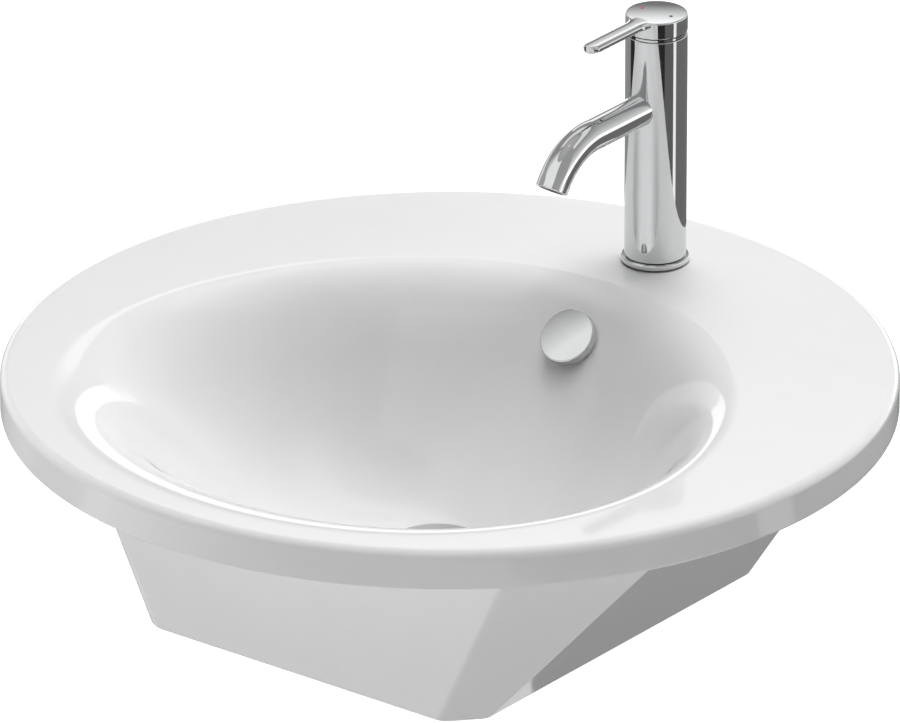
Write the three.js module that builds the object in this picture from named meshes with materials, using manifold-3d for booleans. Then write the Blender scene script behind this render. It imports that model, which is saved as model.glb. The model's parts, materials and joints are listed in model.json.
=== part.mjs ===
// Round vanity basin with a side-splayed underbody, a single-hole lever mixer,
// a domed overflow cover and a push-open waste. Millimetres, +Z up, the user
// stands at -Y. The origin is the centre of the rim's underside, which rests on
// the counter top.
import * as THREE from 'three';
import { mergeVertices } from 'three/addons/utils/BufferGeometryUtils.js';
import Module from 'manifold-3d';

const wasm = await Module();
wasm.setup();

// Fits shared by all pieces
const seatGap = 0.3;
const overrun = 2;
const weldTolerance = 0.01;

// Rim and deck
const rimRadius = 290;
const rimHeight = 26;
const rimTopFillet = 6;
const rimFootFillet = 2;
const rimFootWidth = 22;
const deckThickness = 14;

// Bowl: an edge circle set forward of the rim's centre, round a drain set back in it
const bowlDepth = 127;
const bowlEdgeRadius = 196.5;
const bowlForward = 44;
const drainForward = 13.4;
const drainSeatRadius = 34;
const bowlWall = 10;
const frontLipDepth = 28;
const sideLipDepth = 44;
const rearLipDepth = 40;
const sideWidenShare = 0.006;
const cornerWidenShare = 0.09;
const frontCurve = 1.45;
const sideCurve = 2.3;
const rearCurve = 1.27;

// Underbody: an eight-sided skirt whose side faces splay towards the rim
const skirtDrop = 135;
const skirtWall = 11;
const footHalfDepth = 160.9;
const footFrontHalfWidth = 117.2;
const footHalfWidth = 137.2;
const footSideHalfDepth = 139.5;
const frontSplayShare = 0.48;
const frontLeanShare = 0.026;
const sideSplayShare = 0.81;
const sideDrawShare = 0.426;
const frontCreaseRadius = 12;
const sideCreaseRadius = 6;
const footEdgeRadius = 3;
const ringPitch = 2;

// Holes and cast channels of the basin
const drainBoreRadius = 23;
const drainBossRadius = 36;
const drainBossDrop = 28;
const galleryRadius = 28;
const galleryTop = 8;
const galleryHeight = 12;
const tapHoleRadius = 17.5;
const overflowBack = 130;
const overflowHoleRadius = 12;
const ductWidth = 32;
const ductHeight = 9;
const ductCorner = 3;
const ductWall = 4;
const ductRise = 13;

// Overflow cover and its snap-in insert
const coverRadius = 19.2;
const coverDepth = 6.2;
const coverCorner = 0.9;
const coverDome = 1.2;
const coverWall = 1.8;
const coverStandoff = 2.4;
const coverPegRadius = 3.2;
const coverPegDrop = 4;
const insertRadius = 11.5;
const insertWall = 1.6;
const insertFlangeRadius = 15.4;
const insertFlange = 1.4;
const insertSeat = 0.9;
const insertDepth = 17;
const insertHubRadius = 5.4;
const insertSpokeWidth = 2;

// Waste
const wasteFlangeRadius = 32;
const wasteFlangeEdge = 1.6;
const wasteFlangeHeight = 2.4;
const wasteConeRadius = 26;
const wasteTubeRadius = 20.5;
const wasteTubeBore = 17.5;
const wasteTubeLength = 75;
const wasteSlotWidth = 9;
const wasteLedgeWidth = 1.6;
const wasteLedgeDrop = 43;
const flangeSealHeight = 1;
const flangeSealInner = 23.5;
const flangeSealOuter = 31;
const lowerSealOuter = 30;
const lowerSealHeight = 5;
const wasteWasherOuter = 31;
const wasteWasherHeight = 2;
const wasteNutRadius = 31;
const wasteNutHeight = 10;
const wasteClearance = 0.5;

// Push-open plug
const plugRadius = 31.5;
const plugEdge = 1.5;
const plugDome = 2.4;
const plugSpigotRadius = 15.5;
const plugSpigotDrop = 3;
const plugSealWidth = 2.6;
const plugSealHeight = 2.2;
const plugStemRadius = 3;
const plugStemLength = 34;
const latchRadius = 8;
const latchLength = 26;
const latchFloor = 6.5;
const latchRingHeight = 4;
const latchArmWidth = 3;
const latchBore = 3.5;

// Mixer tap
const tapBack = 220;
const baseRingRadius = 22.7;
const baseRingHeight = 3.5;
const baseRingBore = 16.5;
const baseRingFillet = 1.2;
const baseSealWidth = 4;
const baseSealHeight = 1.4;
const columnRadius = 20.4;
const columnBore = 16.5;
const columnTop = 160.5;
const columnFloor = 10;
const columnChamfer = 0.5;
const ledgeHeight = 3;
const ledgeHoleRadius = 6;
const inletRadius = 4;
const inletSpacing = 12;
const inletForward = 5;
const jointRingRadius = 19.6;
const jointRingWidth = 3.2;
const jointRingHeight = 1.4;

// Spout
const spoutHeight = 111;
const spoutRadius = 10.75;
const spoutBore = 8.5;
const spoutInset = 15;
const spoutBendStart = 70.8;
const spoutBendRadius = 47;
const spoutTail = 5;
const spoutBendAngle = THREE.MathUtils.degToRad(56);
const aeratorInset = 0.8;
const aeratorLength = 6;
const aeratorWall = 1.2;
const aeratorGridInset = 1.2;
const aeratorGridHeight = 2.5;
const aeratorHoleRadius = 1.3;
const aeratorHolePitch = 4;
const aeratorHoles = 6;

// Cartridge in the column's head
const cartridgeRadius = 14.5;
const cartridgeHeight = 24;
const cartridgeNutBore = 12.3;
const cartridgeNutHeight = 6;
const carrierRadius = 11.5;
const carrierHeight = 7;
const earInner = 4;
const earOuter = 8;
const earHalfDepth = 4.5;
const earRise = 4;
const pivotBack = 8;
const pinRadius = 1.5;
const stemHalfWidth = 3.4;
const stemHalfDepth = 4;
const stemDrop = 4.2;

// Lever
const leverGap = 0.8;
const capHeight = 11.6;
const capTopFillet = 1.6;
const capFootFillet = 0.5;
const capCeiling = 3.5;
const capWall = 3.4;
const leverReach = 74;
const leverWidth = 12.5;
const leverRootWidth = 17;
const leverRootEnd = 16.3;
const leverWaist = 21.4;
const leverNeck = 27.5;
const leverThickness = 5;
const leverDrop = 0.2;
const leverEdge = 0.9;
const leverTipRadius = 4.5;
const liftLimit = THREE.MathUtils.degToRad(20);
const grubRadius = 1.7;
const grubLength = 6;
const grubDrop = 4.7;
const grubPlugHeight = 1;
const markRadius = 1.2;
const markDepth = 0.8;
const markSpacing = 23.4;

// Fixing under the deck
const studRadius = 3;
const studBack = 12.5;
const studGrip = 7;
const studLength = 92;
const horseshoeRadius = 24;
const horseshoeSlotRadius = 11;
const horseshoeHeight = 3;
const fixingNutRadius = 7.5;
const fixingNutHeight = 10;

// Facet counts
const bowlSectors = 52;
const wideSides = 32;
const middleSides = 24;
const spoutSides = 20;
const smallSides = 16;
const tinySides = 10;
const bendSteps = 7;
const ductSteps = 10;

const glaze = { color: 0xf4f4f2, roughness: 0.08, metalness: 0 };
const chrome = { color: 0xc9cbcd, roughness: 0.06, metalness: 1 };
const brass = { color: 0xb89a55, roughness: 0.35, metalness: 1 };
const steel = { color: 0x9a9c9e, roughness: 0.4, metalness: 1 };
const blackRubber = { color: 0x232323, roughness: 0.85, metalness: 0 };
const whitePlastic = { color: 0xe6e6e2, roughness: 0.45, metalness: 0 };
const greyPlastic = { color: 0x8d9094, roughness: 0.5, metalness: 0 };
const redInlay = { color: 0xd0142c, roughness: 0.4, metalness: 0 };
const blueInlay = { color: 0x1c4fa8, roughness: 0.4, metalness: 0 };

// Geometry helpers

// Merges the corners that meet and drops the triangles that have no area.
function weld(geometry) {
  const bare = geometry.clone();
  bare.deleteAttribute('normal');
  bare.deleteAttribute('uv');
  const merged = mergeVertices(bare);
  const index = merged.getIndex().array;
  const kept = [];
  for (let i = 0; i < index.length; i += 3) {
    const [a, b, c] = [index[i], index[i + 1], index[i + 2]];
    if (a !== b && b !== c && a !== c) kept.push(a, b, c);
  }
  merged.setIndex(kept);
  return merged;
}

function solid(geometry) {
  const welded = weld(geometry);
  return new wasm.Manifold(new wasm.Mesh({
    numProp: 3,
    vertProperties: new Float32Array(welded.getAttribute('position').array),
    triVerts: new Uint32Array(welded.getIndex().array),
  }));
}

function fromSolid(manifold) {
  const mesh = manifold.simplify(weldTolerance).getMesh();
  const geometry = new THREE.BufferGeometry();
  geometry.setAttribute('position', new THREE.BufferAttribute(mesh.vertProperties, 3));
  geometry.setIndex(Array.from(mesh.triVerts));
  return geometry;
}

const joined = (...geometries) =>
  fromSolid(geometries.map(solid).reduce((sum, next) => sum.add(next)));

const cut = (base, ...tools) =>
  fromSolid(tools.map(solid).reduce((rest, tool) => rest.subtract(tool), solid(base)));

const common = (first, second) => fromSolid(solid(first).intersect(solid(second)));

// A solid of revolution about Z from a profile of [radius, height] pairs.
// A profile that is off the axis closes on itself.
function turned(profile, sides) {
  const points = profile.map(([radius, height]) => new THREE.Vector2(radius, height));
  const onAxis = profile[0][0] === 0 && profile[profile.length - 1][0] === 0;
  if (!onAxis) points.push(points[0].clone());
  const geometry = new THREE.LatheGeometry(points, sides);
  geometry.rotateX(Math.PI / 2);
  return facingOut(weld(geometry));
}

function facingOut(geometry) {
  const position = geometry.getAttribute('position');
  const index = geometry.getIndex().array;
  const [a, b, c] = [new THREE.Vector3(), new THREE.Vector3(), new THREE.Vector3()];
  let volume = 0;
  for (let i = 0; i < index.length; i += 3) {
    a.fromBufferAttribute(position, index[i]);
    b.fromBufferAttribute(position, index[i + 1]);
    c.fromBufferAttribute(position, index[i + 2]);
    volume += a.dot(b.cross(c));
  }
  if (volume < 0) geometry.setIndex(Array.from(index).reverse());
  return geometry;
}

// Rod along Z between two heights.
function rod(radius, low, high, sides = smallSides) {
  return turned([[0, low], [radius, low], [radius, high], [0, high]], sides);
}

const ring = (inner, outer, low, high, sides = middleSides) =>
  turned([[inner, low], [outer, low], [outer, high], [inner, high]], sides);

// Quarter round of a profile, from one tangent point to the other.
function fillet(centreRadius, centreHeight, radius, fromAngle, toAngle, steps = 3) {
  return Array.from({ length: steps + 1 }, (_, i) => {
    const angle = fromAngle + (toAngle - fromAngle) * i / steps;
    return [centreRadius + radius * Math.cos(angle), centreHeight + radius * Math.sin(angle)];
  });
}

// Points of a shallow dome, from inside its edge to its middle.
function dome(radius, foot, height, steps = 3) {
  const sphere = (radius ** 2 + height ** 2) / (2 * height);
  return Array.from({ length: steps }, (_, i) => {
    const out = radius * (steps - 1 - i) / steps;
    return [out, foot + height - sphere + Math.sqrt(sphere ** 2 - out ** 2)];
  });
}

// Joins rings of equally many [x, y, z] points into one closed skin. The rings
// either run round to the first one again or end in flat caps.
function skin(rings, endless) {
  const count = rings[0].length;
  const positions = rings.flat(2);
  const index = [];
  const pairs = endless ? rings.length : rings.length - 1;
  for (let row = 0; row < pairs; row += 1) {
    const next = (row + 1) % rings.length;
    for (let i = 0; i < count; i += 1) {
      const j = (i + 1) % count;
      const [a, b] = [row * count + i, row * count + j];
      const [c, d] = [next * count + j, next * count + i];
      index.push(a, b, c, a, c, d);
    }
  }
  if (!endless) {
    const last = (rings.length - 1) * count;
    for (let i = 1; i < count - 1; i += 1) {
      index.push(0, i + 1, i);
      index.push(last, last + i, last + i + 1);
    }
  }
  const geometry = new THREE.BufferGeometry();
  geometry.setAttribute('position', new THREE.Float32BufferAttribute(positions, 3));
  geometry.setIndex(index);
  return facingOut(geometry);
}

function box(width, depth, height, x, y, z) {
  const geometry = new THREE.BoxGeometry(width, depth, height);
  geometry.translate(x, y, z);
  return geometry;
}

const root = new THREE.Group();

function add(name, geometry, finish, parent = root) {
  const mesh = new THREE.Mesh(geometry, new THREE.MeshStandardMaterial(finish));
  mesh.name = name;
  parent.add(mesh);
  return mesh;
}

// Bowl surface

const drainCentre = [0, -drainForward];

// A value that changes smoothly from the front by the sides to the rear.
function aroundBowl(angle, front, side, rear) {
  const mean = (front + rear) / 2;
  const sine = Math.sin(angle);
  const cosine = Math.cos(angle);
  return mean + (rear - front) / 2 * sine + (side - mean) * cosine ** 2;
}

// Distance from the drain's axis to the bowl's edge circle.
function edgeDistance(angle) {
  const offset = bowlForward - drainForward;
  const along = offset * Math.sin(angle);
  const reach = -along + Math.sqrt(along * along + bowlEdgeRadius ** 2 - offset ** 2);
  const widening = sideWidenShare - cornerWidenShare * Math.sin(angle);
  return reach * (1 + widening * Math.cos(angle) ** 2);
}

// Distance from the drain's axis to a circle about the rim's centre.
function circleDistance(angle, radius) {
  const along = drainForward * Math.sin(angle);
  return along + Math.sqrt(along * along + radius ** 2 - drainForward ** 2);
}

// Height of a surface that follows the deck and falls into the bowl. The floor
// lies lower by thickness and the deck by deckDrop.
function bowlHeight(angle, distance, thickness, deckDrop) {
  const curve = aroundBowl(angle, frontCurve, sideCurve, rearCurve);
  const lip = aroundBowl(angle, frontLipDepth, sideLipDepth, rearLipDepth);
  const run = edgeDistance(angle) + thickness - drainSeatRadius;
  const share = Math.max(distance - drainSeatRadius, 0) / run;
  const wall = bowlDepth * (share ** curve - 1) - thickness + deckDrop;
  const blend = Math.max(lip - Math.abs(wall), 0) / lip;
  return rimHeight - deckDrop + Math.min(wall, 0) - blend * blend * lip / 4;
}

function fromDrain(angle, distance, height) {
  return [
    drainCentre[0] + distance * Math.cos(angle),
    drainCentre[1] + distance * Math.sin(angle),
    height,
  ];
}

const sectorAngles = Array.from({ length: bowlSectors }, (_, i) => 2 * Math.PI * i / bowlSectors);

const ringAt = (pointAt) => sectorAngles.map(pointAt);

// Rings of one height round the rim's own axis.
function rimRing(radius, height) {
  return ringAt((angle) => {
    const [x, y] = fromDrain(angle, circleDistance(angle, radius), height);
    const scale = radius / Math.hypot(x, y);
    return [x * scale, y * scale, height];
  });
}

const wallShares = [0, 0.12, 0.25, 0.38, 0.5, 0.62, 0.73, 0.83, 0.9, 0.96, 1.01, 1.07, 1.15];
const underShares = [0.2, 0.4, 0.58, 0.74, 0.86, 0.95, 1.04, 1.2];

// Rings on the bowl's surface, kept inside a circle about the rim's centre.
function bowlRings(shares, thickness, deckDrop, outerRadius) {
  return shares.map((share, i) => ringAt((angle) => {
    const run = edgeDistance(angle) + thickness - drainSeatRadius;
    const limit = circleDistance(angle, outerRadius) - ringPitch * (shares.length - i);
    const distance = Math.min(drainSeatRadius + run * share, limit);
    return fromDrain(angle, distance, bowlHeight(angle, distance, thickness, deckDrop));
  }));
}

const seatHeight = rimHeight - bowlDepth;
const flatRing = (radius, height) => ringAt((angle) => fromDrain(angle, radius, height));

function bowlShell() {
  const rimFlat = rimRadius - rimTopFillet;
  const footInner = rimRadius - rimFootWidth;
  const topEdge = fillet(rimFlat, rimHeight - rimTopFillet, rimTopFillet, Math.PI / 2, 0);
  const footFlat = rimRadius - rimFootFillet;
  const footEdge = fillet(footFlat, rimFootFillet, rimFootFillet, 0, -Math.PI / 2, 2);
  const bossFoot = seatHeight - drainBossDrop;
  const galleryFoot = seatHeight - galleryTop - galleryHeight;
  return skin([
    flatRing(drainBoreRadius, seatHeight),
    ...bowlRings(wallShares, 0, 0, rimFlat),
    ...[...topEdge, ...footEdge].map(([radius, height]) => rimRing(radius, height)),
    rimRing(footInner, 0),
    rimRing(footInner, rimHeight - deckThickness),
    ...bowlRings(underShares, bowlWall, deckThickness, footInner).reverse(),
    flatRing(drainBossRadius, seatHeight - bowlWall),
    flatRing(drainBossRadius, bossFoot),
    flatRing(drainBoreRadius, bossFoot),
    flatRing(drainBoreRadius, galleryFoot),
    flatRing(galleryRadius, galleryFoot),
    flatRing(galleryRadius, seatHeight - galleryTop),
    flatRing(drainBoreRadius, seatHeight - galleryTop),
  ], true);
}

// Everything over the shell's underside, which trims what lies under it. Its
// rings run the same way as the shell's, so that their facets match.
function overShell() {
  const outer = rimRadius + overrun;
  const deckDrop = deckThickness + seatGap;
  return skin([
    rimRing(outer, rimHeight + skirtDrop),
    rimRing(outer, rimHeight - deckDrop),
    ...bowlRings(underShares, bowlWall + seatGap, deckDrop, rimRadius - rimFootWidth).reverse(),
    flatRing(drainBossRadius, seatHeight - bowlWall - seatGap),
  ], false);
}

// Upright prism round the bowl's edge, moved outwards by gap.
function edgePrism(gap) {
  const outline = (height) =>
    ringAt((angle) => fromDrain(angle, edgeDistance(angle) + gap, height));
  return skin([outline(-skirtDrop), outline(rimHeight + overrun)], false);
}

// Underbody

// Corners of the skirt at a height over its foot, counter-clockwise.
function skirtCorners(rise) {
  const frontX = footFrontHalfWidth + frontSplayShare * rise;
  const frontY = footHalfDepth + frontLeanShare * rise;
  const sideX = footHalfWidth + sideSplayShare * rise;
  const sideY = footSideHalfDepth - sideDrawShare * rise;
  return [
    [sideX, -sideY], [sideX, sideY], [frontX, frontY], [-frontX, frontY],
    [-sideX, sideY], [-sideX, -sideY], [-frontX, -frontY], [frontX, -frontY],
  ].map(([x, y]) => new THREE.Vector2(x, y));
}

// Moves every side of a convex outline inwards.
function inset(corners, distance) {
  const count = corners.length;
  return corners.map((corner, i) => {
    const before = corners[(i + count - 1) % count];
    const after = corners[(i + 1) % count];
    const arriving = corner.clone().sub(before).normalize();
    const leaving = after.clone().sub(corner).normalize();
    const inwardA = new THREE.Vector2(-arriving.y, arriving.x);
    const inwardB = new THREE.Vector2(-leaving.y, leaving.x);
    const bisector = inwardA.clone().add(inwardB).normalize();
    return corner.clone().addScaledVector(bisector, distance / bisector.dot(inwardA));
  });
}

// Rounds the corners of an outline, each with its own radius.
function rounded(corners, radii, steps = 3) {
  const count = corners.length;
  return corners.flatMap((corner, i) => {
    const toBefore = corners[(i + count - 1) % count].clone().sub(corner).normalize();
    const toAfter = corners[(i + 1) % count].clone().sub(corner).normalize();
    const halfAngle = toBefore.angleTo(toAfter) / 2;
    const reach = radii[i] / Math.tan(halfAngle);
    const bisector = toBefore.clone().add(toAfter).normalize();
    const centre = corner.clone().addScaledVector(bisector, radii[i] / Math.sin(halfAngle));
    const start = corner.clone().addScaledVector(toBefore, reach).sub(centre);
    const end = corner.clone().addScaledVector(toAfter, reach).sub(centre);
    const turn = Math.atan2(start.cross(end), start.dot(end));
    return Array.from({ length: steps + 1 }, (_, step) =>
      start.clone().rotateAround(new THREE.Vector2(), turn * step / steps).add(centre));
  });
}

const creaseRadii = [
  sideCreaseRadius, sideCreaseRadius, frontCreaseRadius, frontCreaseRadius,
  sideCreaseRadius, sideCreaseRadius, frontCreaseRadius, frontCreaseRadius,
];

function skirtRing(rise, depth) {
  const outline = rounded(inset(skirtCorners(rise), depth), creaseRadii);
  return outline.map((point) => [point.x, point.y, rise - skirtDrop]);
}

const skirtTop = skirtDrop + rimHeight;

// Room inside the skirt, in from its outer faces by depth.
const insideSkirt = (depth) =>
  skin([skirtRing(-overrun, depth), skirtRing(skirtTop + overrun, depth)], false);

function skirt() {
  const quarter = Math.PI / 4;
  const outside = skin([
    skirtRing(0, footEdgeRadius),
    skirtRing(footEdgeRadius * (1 - Math.sin(quarter)), footEdgeRadius * (1 - Math.cos(quarter))),
    skirtRing(footEdgeRadius, 0),
    skirtRing(skirtTop, 0),
  ], false);
  return cut(outside, insideSkirt(skirtWall), overShell());
}

// Overflow: where it lies on the rear wall, and how the wall leans there

const rearWall = (back) => bowlHeight(Math.PI / 2, back + drainForward, 0, 0);

function wallLean(back) {
  return Math.atan2(rearWall(back + seatGap) - rearWall(back - seatGap), 2 * seatGap);
}

const overflowLean = wallLean(overflowBack);

// Depth of the cast channel's middle under the bowl's face
const ductDepth = bowlWall + ductHeight / 2;

// Middle of the cast channel, from over the overflow hole down to the gallery.
// It starts higher up by extra.
function ductPath(extra) {
  const high = overflowBack + ductRise + extra;
  const low = drainBossRadius - drainForward + ductWidth / 2;
  const shares = [0, 0.2, 0.4, 0.6, 0.8, 1];
  const points = shares.map((share) => {
    const back = THREE.MathUtils.lerp(high, low, share);
    const lean = wallLean(back);
    const behind = back + ductDepth * Math.sin(lean);
    return new THREE.Vector3(0, behind, rearWall(back) - ductDepth * Math.cos(lean));
  });
  const galleryMiddle = seatHeight - galleryTop - galleryHeight / 2;
  points.push(new THREE.Vector3(0, drainBoreRadius - drainForward + overrun, galleryMiddle));
  return new THREE.CatmullRomCurve3(points);
}

// Bar of rounded rectangular section along a path in the plane of symmetry.
function channel(path, width, height, corner) {
  const section = new THREE.Shape(rounded([
    new THREE.Vector2(width / 2, -height / 2), new THREE.Vector2(width / 2, height / 2),
    new THREE.Vector2(-width / 2, height / 2), new THREE.Vector2(-width / 2, -height / 2),
  ], [corner, corner, corner, corner], 2));
  return new THREE.ExtrudeGeometry(section, { steps: ductSteps, extrudePath: path, bevelEnabled: false });
}

const overflow = new THREE.Group();
overflow.position.set(0, overflowBack, rearWall(overflowBack));
overflow.rotation.x = overflowLean;
root.add(overflow);

function atOverflow(geometry) {
  geometry.rotateX(overflowLean);
  geometry.translate(0, overflowBack, rearWall(overflowBack));
  return geometry;
}

// The casting is one piece. Its bowl, deck, skirt and channel are solids of
// their own, so that each one's collision can follow its hollows.

const shell = bowlShell();
const duct = channel(ductPath(0), ductWidth, ductHeight, ductCorner);

function basinBowl() {
  const hole = atOverflow(rod(overflowHoleRadius, -ductDepth, coverStandoff));
  return cut(common(shell, edgePrism(0)), duct, hole);
}

function basinDeck() {
  const tapHole = rod(tapHoleRadius, -overrun, rimHeight + overrun, middleSides);
  tapHole.translate(0, tapBack, 0);
  return cut(shell, edgePrism(seatGap), duct, tapHole);
}

function basinChannel() {
  const cover = channel(
    ductPath(ductWall), ductWidth + 2 * ductWall, ductHeight + 2 * ductWall, ductCorner + ductWall,
  );
  const bossFoot = seatHeight - drainBossDrop - overrun;
  const boss = rod(drainBossRadius + seatGap, bossFoot, seatHeight, bowlSectors);
  boss.translate(drainCentre[0], drainCentre[1], 0);
  return cut(common(cover, insideSkirt(skirtWall + seatGap)), overShell(), boss, duct);
}

add('basin_bowl', basinBowl(), glaze);
add('basin_deck', basinDeck(), glaze);
add('basin_skirt', cut(skirt(), duct), glaze);
add('basin_channel', basinChannel(), glaze);

// Overflow cover and the insert that holds it, built about the hole's own axis

function overflowCover() {
  const face = coverStandoff + coverDepth;
  const flat = coverRadius - coverCorner;
  const inner = coverRadius - coverWall;
  return turned([
    [0, -coverPegDrop], [coverPegRadius, -coverPegDrop],
    [coverPegRadius, face - coverWall], [inner, face - coverWall],
    [inner, coverStandoff], [coverRadius, coverStandoff],
    ...fillet(flat, face - coverCorner, coverCorner, 0, Math.PI / 2),
    ...dome(flat, face, coverDome),
  ], wideSides);
}

const insertTop = insertSeat + insertFlange;

function overflowInsert() {
  const inner = insertRadius - insertWall;
  const sleeve = turned([
    [inner, -insertDepth], [insertRadius, -insertDepth], [insertRadius, insertSeat],
    [insertFlangeRadius, insertSeat], [insertFlangeRadius, insertTop], [inner, insertTop],
  ], smallSides);
  const hubFoot = -coverPegDrop - insertFlange;
  const hub = rod(insertHubRadius, hubFoot, insertSeat);
  const spokeLength = 2 * inner + insertWall;
  const middle = (hubFoot + insertSeat) / 2;
  const height = insertSeat - hubFoot;
  const across = box(spokeLength, insertSpokeWidth, height, 0, 0, middle);
  const upright = box(insertSpokeWidth, spokeLength, height, 0, 0, middle);
  const socket = rod(coverPegRadius + seatGap, -coverPegDrop - seatGap, overrun);
  return cut(joined(sleeve, hub, across, upright), socket);
}

add('overflow_cover', overflowCover(), chrome, overflow);
add('overflow_insert', overflowInsert(), whitePlastic, overflow);

// Waste, built about the drain's axis from the bowl's seat

const waste = new THREE.Group();
waste.position.set(drainCentre[0], drainCentre[1], seatHeight);
root.add(waste);

const flangeFoot = 2 * seatGap + flangeSealHeight;
const flangeTop = flangeFoot + wasteFlangeHeight;
const tubeInner = wasteTubeRadius + wasteClearance;

function wasteBody() {
  const ledge = wasteTubeBore - wasteLedgeWidth;
  const body = turned([
    [wasteTubeRadius, -wasteTubeLength],
    [wasteTubeRadius, flangeFoot],
    [wasteFlangeRadius, flangeFoot],
    [wasteFlangeRadius, flangeFoot + wasteFlangeEdge],
    [wasteConeRadius, flangeTop],
    [wasteTubeBore, flangeFoot - wasteFlangeHeight],
    [wasteTubeBore, -wasteLedgeDrop],
    [ledge, -wasteLedgeDrop],
    [ledge, -wasteLedgeDrop - wasteLedgeWidth],
    [wasteTubeBore, -wasteLedgeDrop - wasteLedgeWidth],
    [wasteTubeBore, -wasteTubeLength],
  ], middleSides);
  const middle = -galleryTop - galleryHeight / 2;
  const reach = 2 * (wasteTubeRadius + overrun);
  return cut(
    body,
    box(reach, wasteSlotWidth, galleryHeight, 0, 0, middle),
    box(wasteSlotWidth, reach, galleryHeight, 0, 0, middle),
  );
}

function lowerSeal(top) {
  return turned([
    [tubeInner, top - lowerSealHeight], [lowerSealOuter, top - lowerSealHeight],
    [lowerSealOuter, top - lowerSealHeight / 2], [drainBoreRadius + overrun, top],
    [tubeInner, top],
  ], middleSides);
}

function hexNut(radius, bore, low, high) {
  const nut = new THREE.CylinderGeometry(radius, radius, high - low, 6);
  nut.rotateX(Math.PI / 2);
  nut.translate(0, 0, (low + high) / 2);
  return cut(nut, rod(bore, low - overrun, high + overrun, middleSides));
}

const lowerSealTop = -drainBossDrop - seatGap;
const washerTop = lowerSealTop - lowerSealHeight - seatGap;
const wasteNutTop = washerTop - wasteWasherHeight - seatGap;

add('waste_body', wasteBody(), chrome, waste);
add('waste_flange_seal', ring(flangeSealInner, flangeSealOuter, seatGap, seatGap + flangeSealHeight),
  blackRubber, waste);
add('waste_lower_seal', lowerSeal(lowerSealTop), blackRubber, waste);
add('waste_washer', ring(tubeInner, wasteWasherOuter, washerTop - wasteWasherHeight, washerTop),
  whitePlastic, waste);
add('waste_nut', hexNut(wasteNutRadius, tubeInner, wasteNutTop - wasteNutHeight, wasteNutTop),
  brass, waste);

// Latch barrel on three arms, which rests on the tube's ledge
function plugLatch() {
  const foot = -wasteLedgeDrop + seatGap;
  const ringOuter = wasteTubeBore - seatGap;
  const ringInner = ringOuter - wasteLedgeWidth;
  const barrel = turned([
    [0, foot], [latchRadius, foot],
    [latchRadius, foot + latchLength], [latchBore, foot + latchLength],
    [latchBore, foot + latchFloor], [0, foot + latchFloor],
  ], smallSides);
  const band = ring(ringInner, ringOuter, foot, foot + latchRingHeight, smallSides);
  const reach = ringInner - latchRadius + latchArmWidth;
  const arms = [0, 1, 2].map((i) => {
    const arm = box(reach, latchArmWidth, latchRingHeight, (latchRadius + ringInner) / 2, 0,
      foot + latchRingHeight / 2);
    arm.rotateZ(Math.PI / 2 + 2 * Math.PI * i / 3);
    return arm;
  });
  return joined(barrel, band, ...arms);
}

const plugFoot = flangeTop + seatGap;

function plugCap() {
  const edge = plugEdge / 2;
  const rim = plugRadius - edge;
  return turned([
    [0, plugFoot - plugSpigotDrop],
    [plugSpigotRadius, plugFoot - plugSpigotDrop],
    [plugSpigotRadius, plugFoot],
    ...fillet(rim, plugFoot + edge, edge, -Math.PI / 2, Math.PI / 2, 4),
    ...dome(rim, plugFoot + plugEdge, plugDome),
  ], middleSides);
}

function plugSeal() {
  const inner = plugSpigotRadius + seatGap;
  const low = plugFoot - seatGap - plugSealHeight;
  return ring(inner, inner + plugSealWidth, low, low + plugSealHeight);
}

const plugStemTop = plugFoot - plugSpigotDrop - seatGap;

add('plug_latch', plugLatch(), greyPlastic, waste);
add('plug_cap', plugCap(), chrome, waste);
add('plug_seal', plugSeal(), blackRubber, waste);
add('plug_stem', rod(plugStemRadius, plugStemTop - plugStemLength, plugStemTop), brass, waste);

// Mixer tap, built about the column's axis from the deck

const tap = new THREE.Group();
tap.position.set(0, tapBack, rimHeight);
root.add(tap);

const columnFoot = baseRingHeight + 2 * seatGap;
const floorTop = columnFoot + columnFloor;
const ledgeTop = columnTop - cartridgeHeight - cartridgeNutHeight - 2 * seatGap - earRise;

function baseRing() {
  const top = baseRingHeight + seatGap;
  const sealInner = baseRingBore + seatGap;
  const sealOuter = sealInner + baseSealWidth + 2 * seatGap;
  const edge = fillet(baseRingRadius - baseRingFillet, top - baseRingFillet, baseRingFillet, 0, Math.PI / 2);
  return turned([
    [sealOuter, seatGap], [baseRingRadius, seatGap], ...edge,
    [baseRingBore, top], [baseRingBore, seatGap + baseSealHeight + seatGap],
    [sealOuter, seatGap + baseSealHeight + seatGap],
  ], middleSides);
}

function baseSeal() {
  const inner = baseRingBore + seatGap;
  return ring(inner, inner + baseSealWidth, seatGap, seatGap + baseSealHeight);
}

function tapColumn() {
  const shell = turned([
    [0, columnFoot], [columnRadius - columnChamfer, columnFoot],
    [columnRadius, columnFoot + columnChamfer], [columnRadius, columnTop - columnChamfer],
    [columnRadius - columnChamfer, columnTop], [columnBore, columnTop],
    [columnBore, ledgeTop], [ledgeHoleRadius, ledgeTop],
    [ledgeHoleRadius, ledgeTop - ledgeHeight], [columnBore, ledgeTop - ledgeHeight],
    [columnBore, floorTop], [0, floorTop],
  ], wideSides);
  const spoutHole = rod(spoutRadius + seatGap, 0, columnRadius + overrun, middleSides);
  spoutHole.rotateX(Math.PI / 2);
  spoutHole.translate(0, 0, spoutHeight);
  const inlets = [-1, 1].map((side) => {
    const inlet = rod(inletRadius, columnFoot - overrun, floorTop + overrun);
    inlet.translate(side * inletSpacing / 2, -inletForward, 0);
    return inlet;
  });
  const studSocket = rod(studRadius + seatGap, columnFoot - overrun, columnFoot + studGrip + seatGap);
  studSocket.translate(0, studBack, 0);
  return cut(shell, spoutHole, ...inlets, studSocket);
}

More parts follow.
